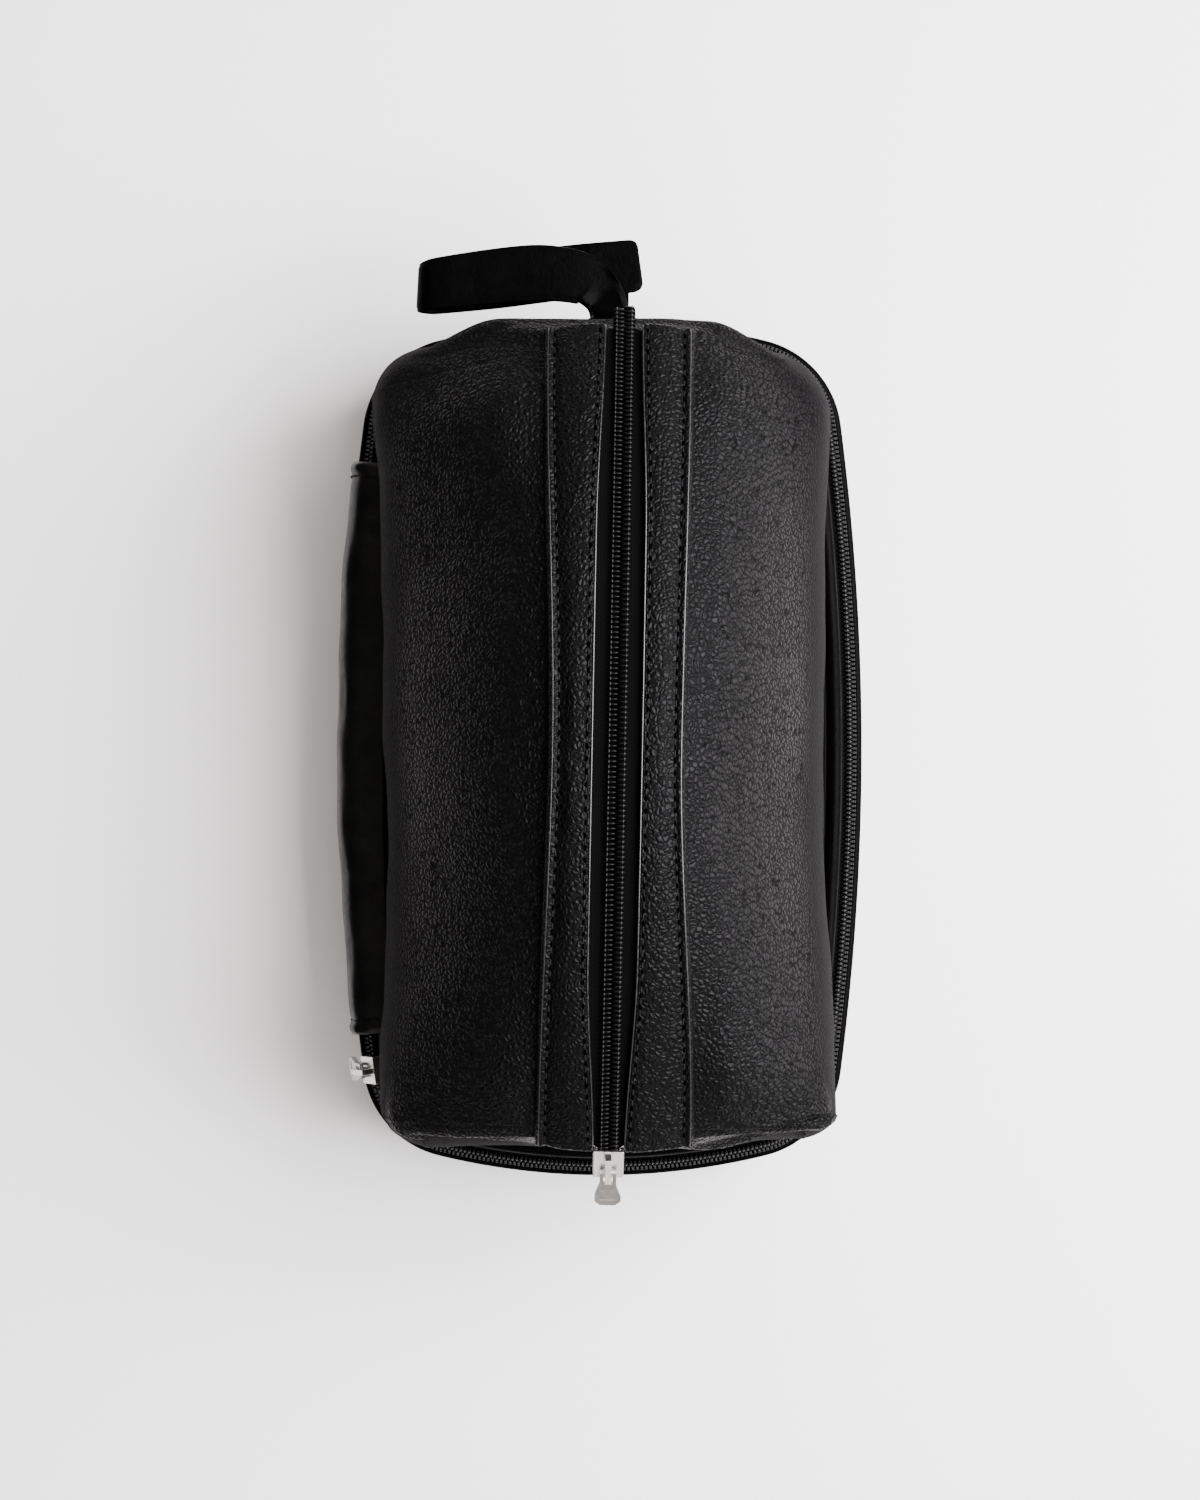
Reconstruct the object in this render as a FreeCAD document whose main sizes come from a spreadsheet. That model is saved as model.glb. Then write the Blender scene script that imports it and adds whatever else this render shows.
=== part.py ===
"""Drop-bottom shaving kit bag: zipped tray below, arched leather bag above.

Millimetres, +Z up, +Y towards the carrying handle, origin at the middle of the base's underside.
"""
import FreeCAD
import Part
import math
import os

Vector = FreeCAD.Vector

doc = FreeCAD.newDocument("shaving_kit_bag")
sheet = doc.addObject("Spreadsheet::Sheet", "Sizes")
sheet.Label = "Sizes"

# alias, value (mm or degrees), what it is
DRIVING_SIZES = [
    ("half_width", 83.3, "half the tray's width at its zip"),
    ("half_length", 137.5, "half the tray's length at its zip"),
    ("side_bow", 810.0, "radius of the gently bowed long sides"),
    ("end_bow", 222.0, "radius of the bowed ends"),
    ("corner_round", 31.5, "plan radius of the corners"),
    ("band_foot", 0.5, "foot of the tray's leather band"),
    ("band_top", 34.0, "top of the tray's leather band"),
    ("welt", 1.5, "radius of the edging on the band"),
    ("leather", 1.8, "thickness of the shell leather"),
    ("lining", 0.7, "thickness of the lining cloth"),
    ("zip_plane", 42.0, "height of the tray zip's centre line"),
    ("zip_inset", 3.8, "tray zip's centre line, in from the outline"),
    ("zip_lean", 58.0, "slope of the tray zip above the horizontal"),
    ("chain_half", 3.0, "half the width of a zip chain"),
    ("coil_half", 1.0, "half the thickness of a coil"),
    ("coil_gap", 0.7, "coil edge to the zip's centre line"),
    ("tape", 0.6, "thickness of zip tape"),
    ("upper_inset", 12.3, "foot of the upper bag, in from the outline"),
    ("floor_low", 45.4, "underside of the divider floor"),
    ("floor_thick", 2.0, "thickness of the divider floor"),
    ("crown", 150.0, "top of the bag"),
    ("arch_round", 280.0, "radius of the arched top along the zip"),
    ("arch_middle", 2.0, "where along Y the arch is highest"),
    ("zip_side", 4.0, "top zip's offset across the bag, at its middle"),
    ("zip_yaw", 1.1, "degrees the top zip runs askew in plan, its front end to the left"),
    ("mouth_run", 104.0, "half the length of the mouth that opens"),
    ("mouth_slot", 15.0, "half the width cut from the shell under the mouth"),
    ("zip_front", 125.0, "front end of the top zip"),
    ("zip_back", 127.4, "back end of the top zip, from the origin"),
    ("facing_inner", 7.0, "zip side of a facing strip, from the zip's centre"),
    ("facing_outer", 19.5, "seam side of a facing strip"),
    ("facing_front", 115.0, "front end of the facing strips"),
    ("facing_back", 121.0, "back end of the facing strips"),
    ("spine_half", 91.0, "half the length of the leather hinge"),
    ("spine", 1.5, "thickness of the leather hinge"),
    ("slider_length", 8.8, "length of a slider"),
    ("slider_half", 4.4, "half the width of a slider"),
    ("plate", 1.1, "thickness of a slider's plates"),
    ("plate_rise", 1.5, "underside of a slider's top plate, above the coil's centre line"),
    ("plate_drop", 2.5, "upper side of a slider's under plate, below that line"),
    ("flange", 0.8, "thickness of a slider's flanges and post"),
    ("flange_drop", 0.3, "lower edge of the flanges, below the coil's centre line"),
    ("post_length", 2.4, "length of a slider's post"),
    ("bridge_length", 8.2, "length of the bridge that holds the pull"),
    ("bridge_width", 1.8, "width of the bridge"),
    ("bridge_leg", 1.5, "length of one leg of the bridge"),
    ("bridge_rise", 5.6, "underside of the bridge, above the coil's centre line"),
    ("bridge_thick", 1.0, "thickness of the bridge"),
    ("pull_length", 13.0, "pivot to the tip of a pull"),
    ("pull_half", 3.8, "half the width of a pull near its tip"),
    ("pull_neck", 2.4, "half the width of a pull at its pivot"),
    ("pull_thick", 1.4, "thickness of a pull"),
    ("strap_width", 18.5, "width of the handle strap"),
    ("strap", 2.4, "thickness of the handle strap"),
    ("strap_gap", 6.0, "space between the handle's two strands"),
    ("handle_height", 85.0, "middle height of the handle"),
    ("handle_near", 133.6, "handle's edge nearest the bag"),
    ("handle_left", -55.8, "bend of the handle strap"),
    ("handle_right", 12.3, "tail of the handle strap"),
    ("tongue_middle", 2.0, "middle of the neck and of the tongue sewn into the strap"),
    ("tongue_half", 6.0, "half the width of that tongue"),
]
for row, (alias, value, meaning) in enumerate(DRIVING_SIZES, start=1):
    sheet.set("A%d" % row, meaning)
    sheet.set("B%d" % row, str(value))
    sheet.setAlias("B%d" % row, alias)
doc.recompute()

sub_parts = []


def size(alias):
    """Value of one driving dimension."""
    return float(sheet.get(alias))


def keep(item, label):
    """Name a finished sub-part; the label is its file name."""
    item.Label = label
    sub_parts.append(item)
    return item


def keep_shape(shape, label):
    """Keep a shape made with Part's own functions as a sub-part."""
    item = doc.addObject("Part::Feature", label)
    item.Shape = shape
    return keep(item, label)


# ---------------------------------------------------------------- the plan outline

def circle_crossing(first, first_radius, second, second_radius):
    """Crossing of two circles with the larger x."""
    across = second.sub(first)
    gap = across.Length
    along = (first_radius ** 2 - second_radius ** 2 + gap ** 2) / (2 * gap)
    side = math.sqrt(first_radius ** 2 - along ** 2)
    unit = Vector(across).normalize()
    normal = Vector(unit.y, -unit.x, 0)
    options = [first + unit * along + normal * side, first + unit * along - normal * side]
    return max(options, key=lambda point: point.x + point.y)


side_centre = Vector(size("half_width") - size("side_bow"), 0, 0)
end_centre = Vector(0, size("half_length") - size("end_bow"), 0)
corner = circle_crossing(side_centre, size("side_bow") - size("corner_round"),
                         end_centre, size("end_bow") - size("corner_round"))
SIDE_TURN = math.degrees(math.atan2(corner.y, corner.x - side_centre.x))
END_TURN = math.degrees(math.atan2(corner.y - end_centre.y, corner.x))
SPINE_TURN = math.degrees(math.asin(size("spine_half") / size("side_bow")))
END_SEGMENT_TURN = 200.0     # the front left end of the tray zip stops at this angle of its corner
END_SEGMENT_GAP = 0.4        # and the rest of the zip starts this much further round


class OutlineArc:
    """One arc of the outline: centre, radius, and where it starts and stops in degrees."""

    def __init__(self, x, y, radius, start, stop):
        self.centre = Vector(x, y, 0)
        self.radius = radius
        self.start = start
        self.stop = stop

    def point(self, degrees, offset, z):
        turn = math.radians(degrees)
        reach = self.radius + offset
        return self.centre + Vector(reach * math.cos(turn), reach * math.sin(turn), z)


def outline_arcs():
    """The closed outline, anticlockwise from the right side."""
    side_x, end_y = side_centre.x, end_centre.y
    side_r, end_r, corner_r = size("side_bow"), size("end_bow"), size("corner_round")
    return {
        "right": OutlineArc(side_x, 0, side_r, -SIDE_TURN, SIDE_TURN),
        "back_right": OutlineArc(corner.x, corner.y, corner_r, SIDE_TURN, END_TURN),
        "back": OutlineArc(0, end_y, end_r, END_TURN, 180 - END_TURN),
        "back_left": OutlineArc(-corner.x, corner.y, corner_r, 180 - END_TURN, 180 - SIDE_TURN),
        "left": OutlineArc(-side_x, 0, side_r, 180 - SIDE_TURN, 180 + SIDE_TURN),
        "front_left": OutlineArc(-corner.x, -corner.y, corner_r, 180 + SIDE_TURN, 180 + END_TURN),
        "front": OutlineArc(0, -end_y, end_r, 180 + END_TURN, 360 - END_TURN),
        "front_right": OutlineArc(corner.x, -corner.y, corner_r, 360 - END_TURN, 360 - SIDE_TURN),
    }


def three_sided_arcs():
    """The tray zip's run: back, right and front, and a little of the left side."""
    arcs = outline_arcs()
    left = arcs.pop("left")
    front_left = arcs.pop("front_left")
    back_piece = OutlineArc(left.centre.x, 0, left.radius, left.start, 180 - SPINE_TURN)
    front_piece = OutlineArc(front_left.centre.x, front_left.centre.y, front_left.radius,
                             END_SEGMENT_TURN + END_SEGMENT_GAP, front_left.stop)
    return list(arcs.values()) + [back_piece, front_piece]


def end_segment_arcs():
    """The zip's front left end, where its slider rests."""
    arcs = outline_arcs()
    left, front_left = arcs["left"], arcs["front_left"]
    return [OutlineArc(left.centre.x, 0, left.radius, 180 + SPINE_TURN, left.stop),
            OutlineArc(front_left.centre.x, front_left.centre.y, front_left.radius,
                       front_left.start, END_SEGMENT_TURN)]


def spine_arcs():
    """The stretch of the left side that the leather hinge covers."""
    left = outline_arcs()["left"]
    return [OutlineArc(left.centre.x, 0, left.radius, 180 - SPINE_TURN, 180 + SPINE_TURN)]


def outline_geometry(offset):
    """Arcs of the outline, moved outwards by offset, for a sketch or a wire."""
    geometry = []
    for arc in outline_arcs().values():
        circle = Part.Circle(arc.centre, Vector(0, 0, 1), arc.radius + offset)
        geometry.append(Part.ArcOfCircle(circle, math.radians(arc.start), math.radians(arc.stop)))
    return geometry


def along_outline(profile, arcs):
    """Solid with a profile of (offset, height) points carried along arcs of the outline."""
    pieces = []
    for arc in arcs:
        corners = [arc.point(arc.start, offset, z) for offset, z in profile]
        face = Part.Face(Part.makePolygon(corners + corners[:1]))
        pieces.append(face.revolve(arc.centre, Vector(0, 0, 1), arc.stop - arc.start))
    return joined(pieces)


def joined(pieces):
    """Fuse solids that touch into one."""
    shape = pieces[0]
    for piece in pieces[1:]:
        shape = shape.fuse(piece)
    return shape.removeSplitter()


def round_profile(offset, z, radius, sides=12):
    """Points round a piping's section."""
    turns = [2 * math.pi * i / sides for i in range(sides)]
    return [(offset + radius * math.cos(turn), z + radius * math.sin(turn)) for turn in turns]


# ---------------------------------------------------------------- PartDesign helpers

def new_body(label):
    return keep(doc.addObject("PartDesign::Body", label), label)


def origin_plane(body, role):
    return next(item for item in body.Origin.OriginFeatures if item.Role == role)


def new_sketch(body, role, geometry, height=None):
    """Sketch on one of the body's own origin planes, raised by an expression."""
    sketch = body.newObject("Sketcher::SketchObject", body.Label + "_sketch")
    sketch.AttachmentSupport = [(origin_plane(body, role), "")]
    sketch.MapMode = "FlatFace"
    if height is not None:
        sketch.setExpression("AttachmentOffset.Base.z", height)
    sketch.addGeometry(geometry, False)
    return sketch


def padded(body, sketch, length, both_ways=False):
    pad = body.newObject("PartDesign::Pad", body.Label + "_pad")
    pad.Profile = sketch
    pad.Midplane = both_ways
    pad.setExpression("Length", length)
    doc.recompute()
    return pad


def outline_slab(label, offset, low, thick):
    """Flat sheet inside the outline."""
    body = new_body(label)
    sketch = new_sketch(body, "XY_Plane", outline_geometry(offset), low)
    padded(body, sketch, thick)
    return body


def polygon(points):
    """Straight edges round points of a sketch's own plane."""
    corners = [Vector(x, y, 0) for x, y in points]
    return [Part.LineSegment(a, b) for a, b in zip(corners, corners[1:] + corners[:1])]


# ---------------------------------------------------------------- the tray

def make_base():
    """Leather underside and the stiff board on it."""
    inside = -size("leather")
    outline_slab("base_panel", inside, "0", "Sizes.leather")
    outline_slab("base_board", inside, "Sizes.leather", "Sizes.floor_thick")


def make_tray_band():
    """Leather band round the tray, standing just off the floor."""
    body = new_body("tray_band")
    geometry = outline_geometry(0) + outline_geometry(-size("leather"))
    sketch = new_sketch(body, "XY_Plane", geometry, "Sizes.band_foot")
    padded(body, sketch, "Sizes.band_top - Sizes.band_foot")


def make_tray_lining():
    """Cloth cup inside the tray."""
    low = size("leather") + size("floor_thick")
    body = new_body("tray_lining")
    sketch = new_sketch(body, "XY_Plane", outline_geometry(-size("leather")),
                        "Sizes.leather + Sizes.floor_thick")
    padded(body, sketch, "Sizes.band_top - Sizes.leather - Sizes.floor_thick")
    hollow = body.newObject("PartDesign::Pocket", "tray_lining_hollow")
    inner = new_sketch(body, "XY_Plane", outline_geometry(-size("leather") - size("lining")),
                       "Sizes.band_top")
    hollow.Profile = inner
    hollow.setExpression("Length", "Sizes.band_top - Sizes.leather - Sizes.floor_thick - Sizes.lining")
    doc.recompute()
    if body.Shape.BoundBox.ZMin > low + 0.01:
        raise RuntimeError("the tray lining has lost its floor")


def make_tray_welt():
    """Rounded edging on top of the band."""
    radius = size("welt")
    inset = size("leather") - 0.95
    profile = round_profile(-inset, size("band_top") + radius, radius)
    arcs = three_sided_arcs() + end_segment_arcs()
    keep_shape(along_outline(profile, arcs), "tray_welt")


# ---------------------------------------------------------------- the tray zip

lean = math.radians(size("zip_lean"))
UP_THE_ZIP = (-math.cos(lean), math.sin(lean))       # across the chain, towards the upper bag
OUT_OF_ZIP = (math.sin(lean), math.cos(lean))        # away from the bag, square to the tape


def zip_point(up, out):
    """(offset, height) of a point across and out from the tray zip's centre line."""
    return (-size("zip_inset") + up * UP_THE_ZIP[0] + out * OUT_OF_ZIP[0],
            size("zip_plane") + up * UP_THE_ZIP[1] + out * OUT_OF_ZIP[1])


COIL_CHAMFER = 0.4           # cut off a coil's outer edge
TAPE_DROP = 4.0              # the lower tape is sewn this far down inside the band


def coil_profile(side):
    """One coil row of the tray zip; side is +1 for the upper row."""
    near, far = size("coil_gap") * side, size("chain_half") * side
    half = size("coil_half")
    return [zip_point(near, -half), zip_point(near, half), zip_point(far - COIL_CHAMFER * side, half),
            zip_point(far, half - COIL_CHAMFER), zip_point(far, -half)]


def slope_at_offset(offset, out):
    """Height of the tape's plane where it is `offset` in from the outline."""
    up = (offset + size("zip_inset") - out * OUT_OF_ZIP[0]) / UP_THE_ZIP[0]
    return zip_point(up, out)[1]


def lower_tape_profile():
    """From the coil down the slope, then straight down inside the lining."""
    top, under = -size("coil_half"), -size("coil_half") - size("tape")
    outer = -size("leather") - size("lining")
    inner = outer - size("tape")
    foot = size("band_top") - TAPE_DROP
    near = -size("coil_gap")
    return [zip_point(near, top), zip_point(near, under), (inner, slope_at_offset(inner, under)),
            (inner, foot), (outer, foot), (outer, slope_at_offset(outer, top))]


def upper_tape_profile():
    """From the coil up the slope, then in under the divider floor."""
    top, under = -size("coil_half"), -size("coil_half") - size("tape")
    high = size("floor_low")
    low = high - size("tape")
    near = size("coil_gap")
    inner = -size("upper_inset") - size("leather")
    up_top = (high - size("zip_plane") - top * OUT_OF_ZIP[1]) / UP_THE_ZIP[1]
    up_under = (low - size("zip_plane") - under * OUT_OF_ZIP[1]) / UP_THE_ZIP[1]
    return [zip_point(near, top), zip_point(up_top, top), (inner, high), (inner, low),
            zip_point(up_under, under), zip_point(near, under)]


def make_tray_zip():
    arcs = three_sided_arcs()
    keep_shape(along_outline(lower_tape_profile(), arcs), "tray_zip_tape")
    keep_shape(along_outline(coil_profile(-1), arcs), "tray_zip_coil")
    keep_shape(along_outline(upper_tape_profile(), arcs), "upper_zip_tape")
    keep_shape(along_outline(coil_profile(1), arcs), "upper_zip_coil")
    ends = end_segment_arcs()
    lower = along_outline(lower_tape_profile(), ends).fuse(along_outline(coil_profile(-1), ends))
    upper = along_outline(upper_tape_profile(), ends).fuse(along_outline(coil_profile(1), ends))
    keep_shape(Part.makeCompound([lower, upper]), "zip_end_front_left")


# ---------------------------------------------------------------- the leather hinge

HINGE_FOOT = 22.0            # lower edge of the hinge leather
HINGE_SPLIT = 0.15           # half the gap between its two leaves
HINGE_SHOULDER = 6.0         # it bends inwards this far above the zip's line,
HINGE_TOP = 10.0             # and lies flat this far above it
HINGE_LAP = 0.4              # left between its inner edge and the upper bag's foot
HINGE_BEND = (0.7, 0.5)      # how much the inside of that bend is eased, inwards and down


def make_spine():
    """Hinge leather on the left: one leaf on the tray, one on the upper bag."""
    thick, plane = size("spine"), size("zip_plane")
    low, high = plane - HINGE_SPLIT, plane + HINGE_SPLIT
    lower = [(0, HINGE_FOOT), (thick, HINGE_FOOT), (thick, low), (0, low)]
    keep_shape(along_outline(lower, spine_arcs()), "tray_hinge_leaf")
    shoulder, top = plane + HINGE_SHOULDER, plane + HINGE_TOP
    inner = -size("upper_inset") + HINGE_LAP
    eased_in, eased_down = HINGE_BEND
    upper = [(0, high), (thick, high), (thick, shoulder), (-thick, top),
             (inner, top), (inner, top - thick), (-thick - eased_in, top - thick), (0, shoulder - eased_down)]
    keep_shape(along_outline(upper, spine_arcs()), "upper_hinge_leaf")


# ---------------------------------------------------------------- the arched top

ARCH_CENTRE = Vector(size("zip_side"), size("arch_middle"), size("crown") - size("arch_round"))
FACING_RISE = 0.9                                    # facing's top above the coil's centre line
COIL_RADIUS = size("arch_round") - FACING_RISE       # arch radius at the coil's centre line
PANEL_DROP = size("coil_half") + size("tape") + 0.5  # shell's face below the coil's centre line
ASKEW = FreeCAD.Rotation(Vector(0, 0, 1), -size("zip_yaw"))


def arch_height(y, radius):
    return ARCH_CENTRE.z + math.sqrt(radius ** 2 - (y - ARCH_CENTRE.y) ** 2)


def arch_turn(y):
    """Angle of a place on the zip from the top of the arch, positive towards +Y."""
    return math.degrees(math.asin((y - ARCH_CENTRE.y) / COIL_RADIUS))


def arch_band(x_low, x_high, y_low, y_high, low, high):
    """Piece of the arch between two x, two y and two levels from the coil's centre line."""
    start, stop = arch_turn(y_low), arch_turn(y_high)
    corners = []
    for x, level in ((x_low, low), (x_high, low), (x_high, high), (x_low, high)):
        corners.append(Vector(ARCH_CENTRE.x + x, ARCH_CENTRE.y, ARCH_CENTRE.z + COIL_RADIUS + level))
    face = Part.Face(Part.makePolygon(corners + corners[:1]))
    face.rotate(ARCH_CENTRE, Vector(1, 0, 0), -start)
    band = face.revolve(ARCH_CENTRE, Vector(-1, 0, 0), stop - start)
    band.rotate(ARCH_CENTRE, Vector(0, 0, 1), -size("zip_yaw"))
    return band


def mirrored_span(side, near, far):
    """An x range on one side of the zip, low end first."""
    return (near, far) if side > 0 else (-far, -near)


def tape_band(side, y_low, y_high, under):
    x_low, x_high = mirrored_span(side, size("coil_gap"), size("facing_inner") * 2)
    return arch_band(x_low, x_high, y_low, y_high, under, -size("coil_half"))


def coil_band(side, y_low, y_high):
    x_low, x_high = mirrored_span(side, size("coil_gap"), size("chain_half"))
    return arch_band(x_low, x_high, y_low, y_high, -size("coil_half"), size("coil_half"))


def facing_band(side, y_low, y_high):
    x_low, x_high = mirrored_span(side, size("facing_inner"), size("facing_outer"))
    return arch_band(x_low, x_high, y_low, y_high, -size("coil_half"), FACING_RISE)


def make_mouth():
    """The two halves that spread: facing strip, zip tape and coil."""
    run = size("mouth_run")
    under = -size("coil_half") - size("tape")
    for side, word in ((-1, "left"), (1, "right")):
        keep_shape(facing_band(side, -run, run), "facing_" + word)
        keep_shape(tape_band(side, -run, run, under), "top_tape_" + word)
        keep_shape(coil_band(side, -run, run), "top_coil_" + word)


def make_zip_ends():
    """The sewn-down ends of the zip and of the facing strips."""
    gap, clear = 0.3, 0.2
    inner = size("mouth_run") + gap
    ends = (("front", -size("zip_front"), -inner, -size("facing_front"), -inner),
            ("back", inner, size("zip_back"), inner, size("facing_back")))
    for word, zip_low, zip_high, facing_low, facing_high in ends:
        halves = []
        for side in (-1, 1):
            tape = tape_band(side, zip_low, zip_high, -PANEL_DROP + clear)
            halves.append(tape.fuse(coil_band(side, zip_low, zip_high)))
        keep_shape(Part.makeCompound(halves), word + "_zip_end")
        facings = [facing_band(side, facing_low, facing_high) for side in (-1, 1)]
        keep_shape(Part.makeCompound(facings), word + "_facing_ends")


# ---------------------------------------------------------------- the upper shell

FLOOR_TOP = size("floor_low") + size("floor_thick")
SHOULDER_HEIGHT = 107.5                  # the long sides' arcs pass here,
RIGHT_SHOULDER, LEFT_SHOULDER = 61.0, 58.5   # this far from the middle
SEAM_HALF = 22.0                         # half the flat top of the section across the bag
SEAM_DROP = 2.8                          # that top, below the crown
FRONT_EDGE, BACK_EDGE = -110.0, 113.0    # where the arched top meets the end walls
END_WALL_HEIGHT = 100.0                  # the end walls' arcs pass this height,
FRONT_WALL_IN, BACK_WALL_IN = 4.6, 2.6   # this far in from the foot
SLANT = 0.9                              # share of an inset that counts across a sloping face


def arc_through(start, middle, stop):
    return Part.Arc(start, middle, stop).toShape()


def across_section(inset):
    """Section across the bag, extruded along its length."""
    foot = size("half_width") - size("upper_inset") - inset
    top = size("crown") - SEAM_DROP - SLANT * inset
    seam = SEAM_HALF - inset / 2
    middle_x, middle_z = size("zip_side"), SHOULDER_HEIGHT - inset / 2
    right_foot, left_foot = Vector(foot, 0, FLOOR_TOP), Vector(-foot, 0, FLOOR_TOP)
    right_top, left_top = Vector(middle_x + seam, 0, top), Vector(middle_x - seam, 0, top)
    right_bulge = Vector(RIGHT_SHOULDER - SLANT * inset, 0, middle_z)
    left_bulge = Vector(-LEFT_SHOULDER + SLANT * inset, 0, middle_z)
    edges = [Part.makeLine(left_foot, right_foot), arc_through(right_foot, right_bulge, right_top),
             Part.makeLine(right_top, left_top), arc_through(left_top, left_bulge, left_foot)]
    face = Part.Face(Part.Wire(edges))
    reach = size("half_length")
    face.translate(Vector(0, -reach, 0))
    return face.extrude(Vector(0, 2 * reach, 0))


def along_section(inset):
    """Section along the bag, extruded across it: the arched top and the two end walls."""
    foot = size("half_length") - size("upper_inset") - inset
    radius = COIL_RADIUS - PANEL_DROP - inset
    front_bulge = Vector(0, FRONT_WALL_IN - foot, END_WALL_HEIGHT)
    back_bulge = Vector(0, foot - BACK_WALL_IN, END_WALL_HEIGHT)
    start = Vector(0, FRONT_EDGE, arch_height(FRONT_EDGE, radius))
    stop = Vector(0, BACK_EDGE, arch_height(BACK_EDGE, radius))
    peak = Vector(0, ARCH_CENTRE.y, ARCH_CENTRE.z + radius)
    front_foot, back_foot = Vector(0, -foot, FLOOR_TOP), Vector(0, foot, FLOOR_TOP)
    edges = [arc_through(front_foot, front_bulge, start),
             arc_through(start, peak, stop),
             arc_through(stop, back_bulge, back_foot),
             Part.makeLine(back_foot, front_foot)]
    face = Part.Face(Part.Wire(edges))
    reach = size("half_width")
    face.translate(Vector(-reach, 0, 0))
    return face.extrude(Vector(2 * reach, 0, 0))


def plan_section(inset):
    """Plan of the bag, extruded upwards from the divider floor."""
    geometry = outline_geometry(-size("upper_inset") - inset)
    face = Part.Face(Part.Wire([arc.toShape() for arc in geometry]))
    face.translate(Vector(0, 0, FLOOR_TOP))
    return face.extrude(Vector(0, 0, size("crown")))


def shell_solid(inset):
    """Closed form of the upper bag, set in by `inset`."""
    return across_section(inset).common(along_section(inset)).common(plan_section(inset))


def mouth_clearance():
    """What is cut from the shell for the mouth and for the slider's path."""
    slot, run = size("mouth_slot"), size("mouth_run")
    clear = 1.6
    channel = size("slider_half") + clear
    reach = size("half_length") - clear
    deep, shallow, high = -30.0, -6.0, 20.0
    mouth = arch_band(-slot, slot, -run, run, deep, high)
    path = arch_band(-channel, channel, -reach, reach, shallow, high)
    return mouth.fuse(path)


def make_shell():
    """Left and right leather panels and the lining behind them."""
    leather = size("leather")
    outer, middle = shell_solid(0), shell_solid(leather)
    inner = shell_solid(leather + size("lining"))
    opening = mouth_clearance()
    skin = outer.cut(middle).cut(opening)
    cloth = middle.cut(inner).cut(opening)
    reach = 2 * size("half_length")
    left_side = Part.makeBox(reach, 2 * reach, reach, Vector(size("zip_side") - reach, -reach, 0))
    keep_shape(skin.common(left_side), "left_panel")
    keep_shape(skin.cut(left_side), "right_panel")
    keep_shape(cloth, "upper_lining")
    return outer


FLOOR_LAP = 1.3              # the divider floor reaches this far out under the edging
EDGING_INSET = 8.9           # middle of the upper edging, in from the outline
EDGING_RISE = 0.8            # and above the divider floor
EDGING_RADIUS = 2.0


def make_divider():
    """Stiff floor of the upper bag and the rounded edging at its foot."""
    outline_slab("divider_floor", FLOOR_LAP - size("upper_inset"), "Sizes.floor_low", "Sizes.floor_thick")
    profile = round_profile(-EDGING_INSET, FLOOR_TOP + EDGING_RISE, EDGING_RADIUS)
    keep_shape(along_outline(profile, list(outline_arcs().values())), "upper_welt")


# ---------------------------------------------------------------- sliders and pulls

def bound_box(label, sizes, place):
    """Part::Box with its sizes and place bound to the sheet."""
    box = doc.addObject("Part::Box", label)
    for name, expression in zip(("Length", "Width", "Height"), sizes):
        box.setExpression(name, expression)
    for axis, expression in zip("xyz", place):
        box.setExpression("Placement.Base." + axis, expression)
    return box


def make_slider(label, bridge_across):
    """Slider: local Y along the chain, Z out of it, origin on the coil's centre line."""
    width, side = "2 * Sizes.slider_half", "-Sizes.slider_half"
    length, end = "Sizes.slider_length", "-Sizes.slider_length / 2"
    flange = ("Sizes.flange", length, "Sizes.plate_rise + Sizes.flange_drop")
    post = ("Sizes.flange", "Sizes.post_length", "Sizes.plate_rise + Sizes.plate_drop")
    pieces = [
        bound_box(label + "_top", (width, length, "Sizes.plate"), (side, end, "Sizes.plate_rise")),
        bound_box(label + "_under", (width, length, "Sizes.plate"),
                  (side, end, "-Sizes.plate_drop - Sizes.plate")),
        bound_box(label + "_post", post, ("-Sizes.flange / 2", "-Sizes.post_length / 2", "-Sizes.plate_drop")),
        bound_box(label + "_left_flange", flange, (side, end, "-Sizes.flange_drop")),
        bound_box(label + "_right_flange", flange,
                  ("Sizes.slider_half - Sizes.flange", end, "-Sizes.flange_drop")),
    ]
    plate_top = "Sizes.plate_rise + Sizes.plate"
    leg = ("Sizes.bridge_width", "Sizes.bridge_leg", "Sizes.bridge_rise - Sizes.plate_rise - Sizes.plate")
    bar = ("Sizes.bridge_width", "Sizes.bridge_length", "Sizes.bridge_thick")
    middle, first, second = "-Sizes.bridge_width / 2", "-Sizes.bridge_length / 2", "Sizes.bridge_length / 2"
    bridge = [(leg, (middle, first, plate_top)),
              (leg, (middle, second + " - Sizes.bridge_leg", plate_top)),
              (bar, (middle, first, "Sizes.bridge_rise"))]
    for index, (sizes, place) in enumerate(bridge):
        if bridge_across:
            sizes = (sizes[1], sizes[0], sizes[2])
            place = (place[1], place[0], place[2])
        pieces.append(bound_box("%s_bridge_%d" % (label, index), sizes, place))
    slider = doc.addObject("Part::MultiFuse", label)
    slider.Shapes = pieces
    slider.Refine = True
    return keep(slider, label)


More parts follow.
